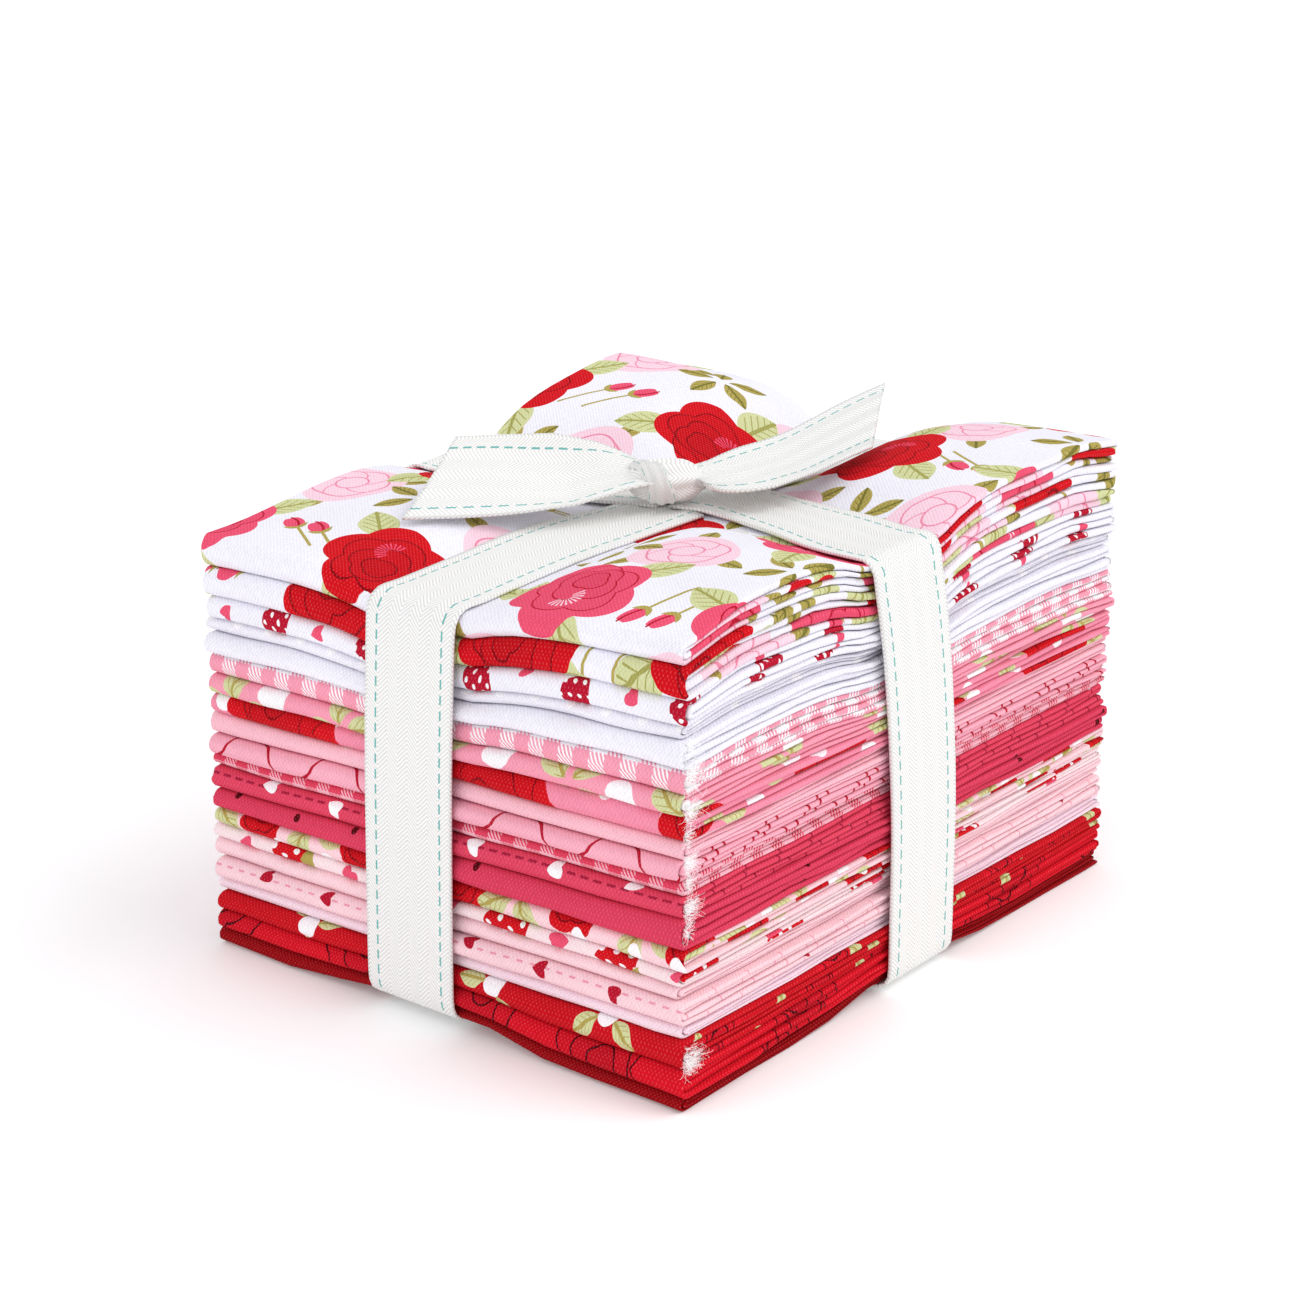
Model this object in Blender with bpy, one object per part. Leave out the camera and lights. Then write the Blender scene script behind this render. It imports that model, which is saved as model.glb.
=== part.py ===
"""A bundle of twenty-one fat quarters of printed cotton, tied both ways with a flat twill ribbon.

Each fat quarter is a stiff folded packet. Across the stack it is folded in half twice, and this
section is modelled layer by layer, with an outer and an inner turn at the left and one fold and
two free ends at the right. Each layer stands for the four plies that the folds along the other
side of the cloth give. +X runs along the face that shows the layer edges, +Y along the face that
shows the smooth folds, and the origin is at the middle of the underside.
"""

from collections import namedtuple
import math

import bpy
import bmesh
from mathutils import Vector

MM = 0.001

STACK_LENGTH = 140 * MM
STACK_WIDTH = 114 * MM
PIECE_GAP = 0.3 * MM

# The folded section of one fat quarter, before it is fitted between its neighbours
LAYERS = 4
LAYER_THICKNESS = 0.72 * MM
LAYER_PITCH = 1.02 * MM
SECTION_HEIGHT = LAYER_THICKNESS + (LAYERS - 1) * LAYER_PITCH
LOWER_END_INSET = 0.5 * MM
UPPER_END_INSET = 1.4 * MM

# How far the cloth may slide about inside the outline of the stack, along X and along Y
SLIDE = 2.0 * MM

# One row for each fat quarter, from the top of the stack down: the colour of its cloth, its
# thickness at the left and the front corner, and how far it stops short of the left face and of
# the front face, in millimetres.
Quarter = namedtuple("Quarter", "colour left front inset_left inset_front")
QUARTERS = (
    Quarter((0.90, 0.88, 0.92), 6.4, 4.4, 0.6, 0.6),
    Quarter((0.88, 0.84, 0.89), 5.7, 5.7, 0.2, 0.4),
    Quarter((0.90, 0.86, 0.90), 4.5, 5.1, 0.8, 0.3),
    Quarter((0.88, 0.85, 0.91), 2.8, 2.8, 1.7, 1.8),
    Quarter((0.87, 0.86, 0.92), 3.9, 4.8, 0.4, 0.6),
    Quarter((0.89, 0.62, 0.71), 4.1, 4.4, 0.9, 0.5),
    Quarter((0.86, 0.42, 0.50), 3.9, 3.9, 0.2, 0.2),
    Quarter((0.85, 0.36, 0.45), 3.7, 5.0, 0.7, 0.1),
    Quarter((0.87, 0.52, 0.60), 4.6, 3.3, 1.2, 1.0),
    Quarter((0.85, 0.46, 0.56), 3.9, 3.9, 0.3, 0.7),
    Quarter((0.74, 0.20, 0.28), 2.9, 2.8, 1.6, 1.4),
    Quarter((0.76, 0.14, 0.24), 4.4, 4.0, 0.5, 0.8),
    Quarter((0.72, 0.10, 0.20), 3.7, 6.0, 0.1, 0.1),
    Quarter((0.87, 0.64, 0.68), 3.4, 4.4, 0.9, 0.6),
    Quarter((0.90, 0.72, 0.74), 3.2, 2.8, 1.1, 1.3),
    Quarter((0.88, 0.66, 0.70), 3.9, 2.8, 1.4, 1.5),
    Quarter((0.88, 0.62, 0.68), 3.9, 4.5, 0.2, 0.4),
    Quarter((0.86, 0.70, 0.76), 2.9, 2.8, 1.5, 1.2),
    Quarter((0.66, 0.05, 0.07), 3.7, 5.5, 0.3, 0.1),
    Quarter((0.60, 0.02, 0.04), 3.9, 5.4, 0.1, 0.2),
    Quarter((0.48, 0.01, 0.03), 3.5, 2.8, 1.0, 1.1),
)
COUNT = len(QUARTERS)

# The upper six lie more loosely towards the right and the back corner.
LOOSE_COUNT = 6
RIGHT_LOFT = 1.17
BACK_LOFT = 1.03

RIBBON_WIDTH = 20.5 * MM
RIBBON_THICKNESS = 1.0 * MM
RIBBON_COLOUR = (0.90, 0.90, 0.87)

# Band A runs along X and band B along Y. The cloth under each is pressed flat for FLAT_HALF on
# either side of the line and rises back to its full height at FREE_HALF.
BAND_A_LINE = 2 * MM
BAND_B_LINE = 1 * MM
FLAT_HALF = 13 * MM
FREE_HALF = 31 * MM
DIP_LEFT = 3.8 * MM
DIP_CENTRE = 5.0 * MM
DIP_RIGHT = 9.5 * MM
DIP_FRONT = 3.9 * MM
DIP_BACK = 3.0 * MM
DIP_SHARING = 8
CROWN = 3.0 * MM
CROWN_END = 50 * MM
CHANNEL_A = 2.6 * MM
CHANNEL_B = 2.2 * MM
CHANNEL_SHARING = 3

# Where the layers bend, along X and along Y
PRESSED_SPAN = (-FREE_HALF, -FLAT_HALF, FLAT_HALF, FREE_HALF)
CHANNEL_STATIONS_X = tuple(BAND_B_LINE + side for side in PRESSED_SPAN)
STATIONS_X = (-CROWN_END, *CHANNEL_STATIONS_X, CROWN_END)
STATIONS_Y = tuple(BAND_A_LINE + side for side in PRESSED_SPAN)
PLAIN_STATIONS_X = (-25 * MM, 25 * MM)
PLAIN_STATIONS_Y = (-20 * MM, 20 * MM)

KNOT_X = 0.0 * MM
KNOT_Y = -2.0 * MM

# A band: whether it runs along X, how far the stack reaches along it, the line that the cloth is
# pressed along, where it bends, the radius of its bends over the edges, how far its own middle
# lies from the axis low on the faces, at the top edges and at the knot, and how much lower it
# runs under the stack, so that the two bands don't lie in one plane where they cross.
Band = namedtuple("Band", "along_x reach line places bend low_offset top_offset knot_offset drop")
BANDS = {
    "band_a": Band(True, STACK_LENGTH / 2, BAND_A_LINE, STATIONS_X, 3.0 * MM,
                   4.6 * MM, 2.3 * MM, KNOT_Y, 0.0),
    "band_b": Band(False, STACK_WIDTH / 2, BAND_B_LINE, STATIONS_Y, 1.5 * MM,
                   2.4 * MM, -1.0 * MM, 3.0 * MM, 0.2 * MM),
}
BAND_END = 2.5 * MM
BEND_STEPS = 3
GATHERED_HALF = 5.2 * MM
GATHER_NEAR = 9 * MM
GATHER_FAR = 32 * MM

KNOT_HEADING = math.radians(-51.6)
KNOT_SQUASH = 0.82
# Distance along the knot and its radius there, in millimetres
KNOT_PROFILE = ((-8.5, 2.6), (-7, 4.9), (-4.5, 5.5), (-3, 4.9), (-2.2, 6.2), (0.2, 6.9),
                (2.4, 6.2), (3.2, 4.9), (5, 5.6), (7.5, 4.8), (9, 2.4))
KNOT_SIDES = 14

# A free end of the ribbon: where its straight run starts, its direction, how far its edges
# reach along that run, and how its breadth tilts. The left side of each is its first edge.
Tail = namedtuple("Tail", "start heading pitch roll first_reach second_reach")
TAILS = (
    Tail(Vector((-8.5, 7.7, 89.6)) * MM, math.radians(143.7), math.radians(2.6),
         math.radians(-28.7), 41.8 * MM, 28.2 * MM),
    Tail(Vector((7.0, -12.0, 89.4)) * MM, math.radians(-9), math.radians(6.0),
         math.radians(1.5), 49.0 * MM, 24.0 * MM),
)
TAIL_ROOT_WIDTH = 9 * MM
TAIL_ROOT_SHARE = 0.2
TAIL_SPREAD = 18 * MM
TAIL_STEPS = 6


def clamp(value):
    return min(max(value, 0.0), 1.0)


def mix(start, end, share):
    return start + (end - start) * share


def curve_through(left, centre, right, share):
    """A parabola that is left at share -1, centre at 0 and right at 1."""
    return centre + (right - left) / 2 * share + ((left + right) / 2 - centre) * share * share


def pressed(distance):
    """1 under a ribbon, falling to 0 clear of it."""
    return clamp((FREE_HALF - abs(distance)) / (FREE_HALF - FLAT_HALF))


def joined(first, second, scale):
    """The depth where two troughs cross, no deeper there than either is alone."""
    return first + second - first * second / scale


def surface_shape(x, y):
    """How far the top of the stack rises above a plane through its corners."""
    under_a = pressed(y - BAND_A_LINE)
    under_b = pressed(x - BAND_B_LINE)
    dip_a = under_a * curve_through(DIP_LEFT, DIP_CENTRE, DIP_RIGHT, x / (STACK_LENGTH / 2))
    dip_b = under_b * curve_through(DIP_FRONT, DIP_CENTRE, DIP_BACK, y / (STACK_WIDTH / 2))
    end = clamp((abs(x) - CROWN_END) / (STACK_LENGTH / 2 - CROWN_END))
    crown = CROWN * (1 - under_a) * (1 - under_b) * (1 - end)
    return crown - joined(dip_a, dip_b, DIP_CENTRE)


def channel_depth(x, y):
    """How far the underside is drawn up where the ribbon crosses it."""
    depth_a = CHANNEL_A * pressed(y - BAND_A_LINE)
    depth_b = CHANNEL_B * pressed(x - BAND_B_LINE)
    return joined(depth_a, depth_b, CHANNEL_A)


def corner_thicknesses(number):
    """(front, right, left, back) thickness of one fat quarter, counted from the top."""
    quarter = QUARTERS[number]
    middle = (quarter.left + quarter.front) / 2
    loose = number < LOOSE_COUNT
    right = middle * (RIGHT_LOFT if loose else 1)
    back = middle * (BACK_LOFT if loose else 1)
    return [size * MM for size in (quarter.front, right, quarter.left, back)]


def boundary(level, x, y):
    """Height of the surface between two fat quarters. Level 0 is the underside of the stack."""
    rows = [corner_thicknesses(COUNT - 1 - below) for below in range(level)]
    front, right, left, back = [sum(row[corner] for row in rows) for corner in range(4)]
    share_x = x / STACK_LENGTH + 0.5
    share_y = y / STACK_WIDTH + 0.5
    height = mix(mix(front, right, share_x), mix(left, back, share_x), share_y)
    height += surface_shape(x, y) * clamp((level - COUNT + DIP_SHARING) / DIP_SHARING)
    return height + channel_depth(x, y) * clamp(1 - level / CHANNEL_SHARING)


def top_of_stack(x, y):
    return boundary(COUNT, x, y)


def turn(radius, centre_level, clockwise, anchor, steps):
    """Points of a half-circle turn between two layers: (anchor, x, height, direction)."""
    points = []
    side = -1 if anchor == "left" else 1
    reach = 1.5 * LAYER_PITCH if anchor == "left" else 0.5 * LAYER_PITCH
    centre = -side * (reach + LAYER_THICKNESS / 2)
    for step in range(steps + 1):
        angle = math.pi * step / steps
        rise = -math.cos(angle) if (side < 0) == clockwise else math.cos(angle)
        x = centre + side * radius * math.sin(angle)
        heading = math.atan2(
            math.sin(angle) * (1 if (side < 0) == clockwise else -1), side * math.cos(angle)
        )
        points.append((anchor, x, centre_level + radius * rise, heading))
    return points


def section_path(stations):
    """The centre line of the four layers, from one free end to the other.

    Each point is (anchor, x, height, direction). x is a place along the stack, or a distance
    from the anchored end of this fat quarter.
    """
    heights = [LAYER_THICKNESS / 2 + layer * LAYER_PITCH for layer in range(LAYERS)]
    middle = SECTION_HEIGHT / 2
    right_fold = (heights[2] + heights[3]) / 2

    def run(layer, leftward):
        order = reversed(stations) if leftward else stations
        return [("", x, heights[layer], math.pi if leftward else 0.0) for x in order]

    path = [("right", -LOWER_END_INSET, heights[0], math.pi)]
    path += run(0, True)
    path += turn(1.5 * LAYER_PITCH, middle, True, "left", 4)
    path += run(3, False)
    path += turn(0.5 * LAYER_PITCH, right_fold, True, "right", 3)
    path += run(2, True)
    path += turn(0.5 * LAYER_PITCH, middle, False, "left", 3)
    path += run(1, False)
    path.append(("right", -UPPER_END_INSET, heights[1], 0.0))
    return path


def stations_for(number):
    """Where this fat quarter bends: more places where the ribbon shapes it."""
    level = COUNT - number
    if level > COUNT - DIP_SHARING:
        return STATIONS_X, STATIONS_Y
    if level <= CHANNEL_SHARING:
        return CHANNEL_STATIONS_X, STATIONS_Y
    return PLAIN_STATIONS_X, PLAIN_STATIONS_Y


def section_point(number, anchor, x, y, height):
    """The point of the nominal section, fitted between this fat quarter's neighbours."""
    quarter = QUARTERS[number]
    left_end = -STACK_LENGTH / 2 + quarter.inset_left * MM
    right_end = STACK_LENGTH / 2 - SLIDE + quarter.inset_left * MM
    x += {"left": left_end, "right": right_end, "": 0.0}[anchor]
    level = COUNT - number
    top = boundary(level, x, y) - PIECE_GAP / 2
    bottom = boundary(level - 1, x, y) + (PIECE_GAP / 2 if level > 1 else 0)
    return Vector((x, y, mix(bottom, top, height / SECTION_HEIGHT)))


def add_ring_faces(mesh, rows):
    """Triangles between neighbouring rings of vertices.

    Every quad is split from its lower x in one ring to its higher x in the next, so that the
    faces of two neighbours that follow one curved surface never cross.
    """
    for row, following in zip(rows, rows[1:]):
        for i, start in enumerate(row):
            j = (i + 1) % len(row)
            end, far_end, far_start = row[j], following[j], following[i]
            if start.co.x <= end.co.x:
                mesh.faces.new((start, end, far_end))
                mesh.faces.new((start, far_end, far_start))
            else:
                mesh.faces.new((start, end, far_start))
                mesh.faces.new((end, far_end, far_start))


def material(name, colour, roughness):
    made = bpy.data.materials.new(name)
    made.use_nodes = True
    shader = made.node_tree.nodes["Principled BSDF"]
    shader.inputs["Base Color"].default_value = (*colour, 1)
    shader.inputs["Roughness"].default_value = roughness
    shader.inputs["Metallic"].default_value = 0
    return made


def make_object(name, mesh, surface):
    bmesh.ops.recalc_face_normals(mesh, faces=mesh.faces)
    data = bpy.data.meshes.new(name)
    mesh.to_mesh(data)
    mesh.free()
    made = bpy.data.objects.new(name, data)
    data.materials.append(surface)
    bpy.context.scene.collection.objects.link(made)
    return made


def fat_quarter(number):
    quarter = QUARTERS[number]
    stations_x, stations_y = stations_for(number)
    front = -STACK_WIDTH / 2 + quarter.inset_front * MM
    back = STACK_WIDTH / 2 - SLIDE + quarter.inset_front * MM
    path = section_path(stations_x)
    mesh = bmesh.new()
    rows = []
    for y in (front, *stations_y, back):
        loop = []
        for side in (1, -1):
            edge = []
            for anchor, x, height, heading in path:
                shift = side * LAYER_THICKNESS / 2
                point = section_point(number, anchor, x - shift * math.sin(heading), y,
                                      height + shift * math.cos(heading))
                edge.append(mesh.verts.new(point))
            loop += edge if side > 0 else edge[::-1]
        rows.append(loop)
    add_ring_faces(mesh, rows)
    steps = len(path)
    for row in (rows[0], rows[-1]):
        for i in range(steps - 1):
            mesh.faces.new((row[i], row[i + 1], row[2 * steps - 2 - i], row[2 * steps - 1 - i]))
    surface = material(f"cotton_{number + 1:02d}", quarter.colour, 0.9)
    return make_object(f"fat_quarter_{number + 1:02d}", mesh, surface)


def strip(name, stations, surface):
    """A flat strip through stations of (centre, across, normal, half width)."""
    mesh = bmesh.new()
    rows = []
    for centre, across, normal, half in stations:
        lift = normal * RIBBON_THICKNESS / 2
        corners = (centre - across * half - lift, centre + across * half - lift,
                   centre + across * half + lift, centre - across * half + lift)
        rows.append([mesh.verts.new(corner) for corner in corners])
    add_ring_faces(mesh, rows)
    mesh.faces.new(rows[0])
    mesh.faces.new(rows[-1])
    return make_object(name, mesh, surface)


def knot_centre():
    widest = max(radius for _, radius in KNOT_PROFILE) * MM * KNOT_SQUASH
    return Vector((KNOT_X, KNOT_Y, top_of_stack(KNOT_X, KNOT_Y) + PIECE_GAP / 2 + widest))


def band_half_width(distance):
    """Half the width of a band, drawn in where it enters the knot."""
    share = clamp((abs(distance) - GATHER_NEAR) / (GATHER_FAR - GATHER_NEAR))
    return mix(GATHERED_HALF, RIBBON_WIDTH / 2, share)


def bend_points(centre, radius, first, last):
    for step in range(BEND_STEPS + 1):
        angle = mix(first, last, step / BEND_STEPS)
        yield centre[0] + radius * math.cos(angle), centre[1] + radius * math.sin(angle)


def spot(band, run, offset):
    """(x, y) of a place this far along a band's direction and this far across it."""
    return (run, offset) if band.along_x else (offset, run)


def band_profile(band):
    """(run, height) points of one band in its own plane, from the knot, round and back to it."""
    knot = knot_centre()
    clear = PIECE_GAP + RIBBON_THICKNESS / 2
    face = band.reach + clear

    def above(run):
        return run, top_of_stack(*spot(band, run, band.line)) + clear

    def below(run):
        return run, channel_depth(*spot(band, run, band.line)) - clear - band.drop

    points = [(-BAND_END, knot.z)]
    points += [above(run) for run in reversed(band.places) if run < 0]
    for side in (-1, 1):
        outward = math.pi if side < 0 else 0.0
        upper = (side * (face - band.bend), above(side * band.reach)[1] - band.bend)
        lower = (side * (face - band.bend), below(side * band.reach)[1] + band.bend)
        down = -math.pi / 2 if side > 0 else math.pi * 3 / 2
        bends = [(upper, math.pi / 2, outward), (lower, outward, down)]
        if side > 0:
            bends = [(centre, last, first) for centre, first, last in reversed(bends)]
        for centre, first, last in bends:
            points += bend_points(centre, band.bend, first, last)
        if side < 0:
            points += [below(run) for run in band.places]
    points += [above(run) for run in reversed(band.places) if run > 0]
    points.append((BAND_END, knot.z))
    return points


def profile_normals(points):
    """The direction square to the path at each point, away from the stack."""
    normals = []
    for i, _ in enumerate(points):
        start = points[max(i - 1, 0)]
        end = points[min(i + 1, len(points) - 1)]
        run, rise = end[0] - start[0], end[1] - start[1]
        size = math.hypot(run, rise)
        normals.append((rise / size, -run / size))
    return normals


def band_strip(name, band, surface):
    """One band round the stack, drifting a little sideways, as far as the ribbon was pulled."""
    profile = band_profile(band)
    stations = []
    for (run, z), (outward, up) in zip(profile, profile_normals(profile)):
        top = top_of_stack(*spot(band, run, band.line))
        on_top = z > top
        half = band_half_width(run) if on_top else RIBBON_WIDTH / 2
        risen = clamp(z / top)
        at_edge = mix(band.low_offset, band.top_offset, risen)
        at_middle = mix(band.low_offset, band.knot_offset, risen)
        offset = mix(at_middle, at_edge, clamp(abs(run) / band.reach))
        slope = 0
        if on_top:
            heights = [top_of_stack(*spot(band, run, band.line + side * half)) for side in (-1, 1)]
            slope = (heights[1] - heights[0]) / (2 * half)
        centre = Vector((*spot(band, run, offset), z + slope * (offset - band.line)))
        across = Vector((*spot(band, 0, 1), slope)).normalized()
        stations.append((centre, across, Vector((*spot(band, outward, 0), up)), half))
    return strip(name, stations, surface)


def tail_axes(heading, pitch, roll):
    """Unit vectors along a tail, across it towards its first edge, and out of its upper face."""
    along = Vector((math.cos(heading) * math.cos(pitch), math.sin(heading) * math.cos(pitch),
                    math.sin(pitch)))
    level = Vector((-math.sin(heading), math.cos(heading), 0))
    upright = along.cross(level)
    across = level * math.cos(roll) + upright * math.sin(roll)
    return along, across, along.cross(across)


def tail_strip(name, tail, surface):
    """One free end, out of the knot and on to its slanting cut."""
    knot = knot_centre()
    along, across, normal = tail_axes(tail.heading, tail.pitch, tail.roll)
    root = tail_axes(tail.heading, tail.pitch, 0)
    centre = knot.lerp(tail.start, TAIL_ROOT_SHARE)
    stations = [(centre, root[1], root[2], TAIL_ROOT_WIDTH / 2)]
    for step in range(1, TAIL_STEPS):
        run = step / TAIL_STEPS * min(tail.first_reach, tail.second_reach)
        share = clamp(run / TAIL_SPREAD)
        half = mix(TAIL_ROOT_WIDTH, RIBBON_WIDTH, share) / 2
        side = root[1].lerp(across, share).normalized()
        up = root[2].lerp(normal, share).normalized()
        stations.append((tail.start + along * run, side, up, half))
    made = strip(name, stations, surface)
    extend_to_cut(made, tail, along, across, normal)
    return made


def extend_to_cut(strip_object, tail, along, across, normal):
    """Draws the last station of a tail out to the slanting cut across its end."""
    reaches = (tail.second_reach, tail.first_reach)
    last = strip_object.data.vertices[-4:]
    for vertex, reach, side, up in zip(last, (*reaches, *reversed(reaches)), (-1, 1, 1, -1),
                                       (-1, -1, 1, 1)):
        vertex.co = (tail.start + along * reach + across * side * RIBBON_WIDTH / 2
                     + normal * up * RIBBON_THICKNESS / 2)


def knot_body(surface):
    """A barrel across the tails, with a wrap round its middle."""
    mesh = bmesh.new()
    centre = knot_centre()
    axis = Vector((math.cos(KNOT_HEADING), math.sin(KNOT_HEADING), 0))
    level = Vector((-axis.y, axis.x, 0))
    rings = []
    for run, radius in KNOT_PROFILE:
        ring = []
        for step in range(KNOT_SIDES):
            angle = 2 * math.pi * step / KNOT_SIDES
            point = centre + axis * run * MM + level * radius * MM * math.cos(angle)
            point.z += radius * MM * KNOT_SQUASH * math.sin(angle)
            ring.append(mesh.verts.new(point))
        rings.append(ring)
    add_ring_faces(mesh, rings)
    mesh.faces.new(rings[0])
    mesh.faces.new(rings[-1])
    return make_object("ribbon_tie", mesh, surface)


def ribbon_tie():
    """The two bands, the knot and its two free ends, as the one ribbon that they are."""
    surface = material("twill", RIBBON_COLOUR, 0.75)
    tie = knot_body(surface)
    pieces = [band_strip(name, band, surface) for name, band in BANDS.items()]
    pieces += [tail_strip(f"tail_{i}", tail, surface) for i, tail in enumerate(TAILS)]
    for piece in pieces:
        piece.hide_render = True
        piece.display_type = "WIRE"
        union = tie.modifiers.new(piece.name, "BOOLEAN")
        union.operation = "UNION"
        union.object = piece
    return tie


def main():
    for old in list(bpy.data.objects):
        bpy.data.objects.remove(old, do_unlink=True)
    for number in range(COUNT):
        fat_quarter(number)
    ribbon_tie()


main()
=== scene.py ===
"""Looks of a ribbon-tied bundle of twenty-one folded fat quarters of printed quilting cotton.

Every fat quarter is the one thin cloth that it really is, folded in quarters both ways into
sixteen plies, and its print is drawn by nodes on the flat cloth, so that it runs round the folds.
The ribbon is a flat twill tape with a row of dashes along each edge.
"""

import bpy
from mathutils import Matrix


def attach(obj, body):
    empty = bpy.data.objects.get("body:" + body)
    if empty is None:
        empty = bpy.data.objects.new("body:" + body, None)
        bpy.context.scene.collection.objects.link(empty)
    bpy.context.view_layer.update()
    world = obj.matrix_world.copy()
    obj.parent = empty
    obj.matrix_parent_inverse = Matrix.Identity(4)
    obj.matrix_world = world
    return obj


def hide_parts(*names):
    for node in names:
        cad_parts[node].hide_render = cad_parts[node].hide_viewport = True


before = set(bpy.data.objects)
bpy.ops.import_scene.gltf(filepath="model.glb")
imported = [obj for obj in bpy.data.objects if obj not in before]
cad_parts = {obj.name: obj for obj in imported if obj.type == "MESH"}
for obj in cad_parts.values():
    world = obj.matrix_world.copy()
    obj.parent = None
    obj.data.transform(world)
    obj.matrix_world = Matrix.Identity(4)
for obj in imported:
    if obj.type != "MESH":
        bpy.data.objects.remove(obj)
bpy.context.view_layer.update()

from collections import namedtuple
import math

import bpy
import numpy as np
from mathutils import Vector

MM = 0.001

# The stack, in millimetres: as in the part's source, but for the dips under the ribbon
LENGTH = 140.0
WIDTH = 114.0
SLIDE = 2.0
LAYERS = 4
LAYER_PITCH = 1.02
LOWER_END_INSET = 0.5
UPPER_END_INSET = 1.4
LOOSE_COUNT = 6
RIGHT_LOFT = 1.17
BACK_LOFT = 1.03
BAND_A_LINE = 2.0
BAND_B_LINE = 1.0
# Where the middle of each ribbon lies on top, from one edge of the stack to the other
COURSE_A = ((-70, 2.3), (-32, 3.4), (-10, 1.1), (0, 0.3), (70, 2.3))
COURSE_B = ((-57, -6.4), (-9, 9.2), (0, 5.4), (18, 2.0), (57, -1.0))
# Where the cloth is pressed down deepest by the ribbon that runs along Y
VALLEY_B = ((-57, -4.5), (-9, 8.0), (20, 1.0), (57, 1.0))
PRESSED_HALF = 10.0
PRESSED_SOFT = 2.0
PRESSED_FALL = 9.0
PRESSED_END = 45.0
CHANNEL_HALF = 13.0
CHANNEL_END = 31.0
DIP_LEFT = 3.8
DIP_CENTRE = 5.0
DIP_RIGHT = 9.5
DIP_FRONT = 1.9
DIP_BACK = 3.0
DIP_SHARING = 8
CROWN = 3.0
CROWN_TWIST = 3.5
CROWN_END = 50.0
CHANNEL_A = 2.6
CHANNEL_B = 2.2
CHANNEL_SHARING = 3

# One ply of the cloth and the pitch of the four plies in a layer
PLY = 0.185
PLY_PITCH = 0.215
STRIP = 3 * PLY_PITCH + PLY
SECTION_HEIGHT = STRIP + (LAYERS - 1) * LAYER_PITCH
PACKET_GAP = 0.12
INNER_PLY_INSET = 0.1

# From the top of the stack down: slot of the cloth, thickness at the left and the front corner,
# and how far it stops short of the left and the front face, in millimetres
Quarter = namedtuple("Quarter", "slot left front inset_left inset_front")
QUARTERS = (
    Quarter("rose_floral_white", 6.4, 4.4, 0.6, 0.6),
    Quarter("pink_floral_white", 5.7, 5.7, 0.2, 0.4),
    Quarter("berry_white", 4.5, 5.1, 0.8, 0.3),
    Quarter("tonal_white", 2.8, 2.8, 1.7, 1.8),
    Quarter("plain_white", 3.9, 4.8, 0.4, 0.6),
    Quarter("pink_gingham", 4.1, 4.4, 0.9, 0.5),
    Quarter("leaf_pink", 3.9, 3.9, 0.2, 0.2),
    Quarter("red_flower_pink", 3.7, 5.0, 0.7, 0.1),
    Quarter("small_berry_pink", 4.6, 3.3, 1.2, 1.0),
    Quarter("scallop_pink", 3.9, 3.9, 0.3, 0.7),
    Quarter("red_gingham", 2.9, 2.8, 1.6, 1.4),
    Quarter("heart_dash_rose", 4.4, 4.0, 0.5, 0.8),
    Quarter("dotted_rose", 3.7, 6.0, 0.1, 0.1),
    Quarter("leaf_pale_pink", 3.4, 4.4, 0.9, 0.6),
    Quarter("berry_pale", 3.2, 2.8, 1.1, 1.3),
    Quarter("plain_pale_pink", 3.9, 2.8, 1.4, 1.5),
    Quarter("heart_dash_pale_pink", 3.9, 4.5, 0.2, 0.4),
    Quarter("plain_lilac_pink", 2.9, 2.8, 1.5, 1.2),
    Quarter("floral_red", 3.7, 5.5, 0.3, 0.1),
    Quarter("lined_red", 3.9, 5.4, 0.1, 0.2),
    Quarter("plain_dark_red", 3.5, 2.8, 1.0, 1.1),
)
COUNT = len(QUARTERS)

# Spacing of the mesh along X and Y: the upper packets bend most
FINE_STEP = 4.5
COARSE_STEP = 12.0
FINE_COUNT = 7
EDGE_STEPS = (1.5, 4.0)

# How unevenly the cloth lies
SURFACE_WAVE = 0.22
FRONT_WAVE = 0.42
LAYER_SHIFT = 0.38
LEFT_WAVE = 0.35
EDGE_FADE = 14.0
LAYER_WARP = 0.045

# The ribbon
RIBBON_WIDTH = 20.5
TAPE = 0.55
TAPE_CLEAR = 0.18


def clamp(value):
    return np.clip(value, 0.0, 1.0)


def smooth(value):
    """0 to 1 with a soft start and end."""
    value = clamp(value)
    return value * value * (3 - 2 * value)


def mix(start, end, share):
    return start + (end - start) * share


# Camera, floor and light

LENS = 95.8
SENSOR = 36.0
CAMERA_PLACE = Vector((-0.491, -0.384, 0.286))
CAMERA_AZIMUTH = math.radians(-51.6)
CAMERA_ELEVATION = math.radians(20.5)
FLOOR_SIZE = 9.0
FLOOR_DROP = 0.1 * MM


def make_camera():
    data = bpy.data.cameras.new("photo_camera")
    data.lens = LENS
    data.sensor_width = SENSOR
    data.clip_start = 0.01
    data.clip_end = 20
    camera = bpy.data.objects.new("photo_camera", data)
    level = math.cos(CAMERA_ELEVATION)
    back = Vector((math.sin(CAMERA_AZIMUTH) * level, -math.cos(CAMERA_AZIMUTH) * level,
                   math.sin(CAMERA_ELEVATION)))
    camera.location = CAMERA_PLACE
    camera.rotation_mode = "QUATERNION"
    camera.rotation_quaternion = (-back).to_track_quat("-Z", "Y")
    bpy.context.scene.collection.objects.link(camera)
    bpy.context.scene.camera = camera


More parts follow.
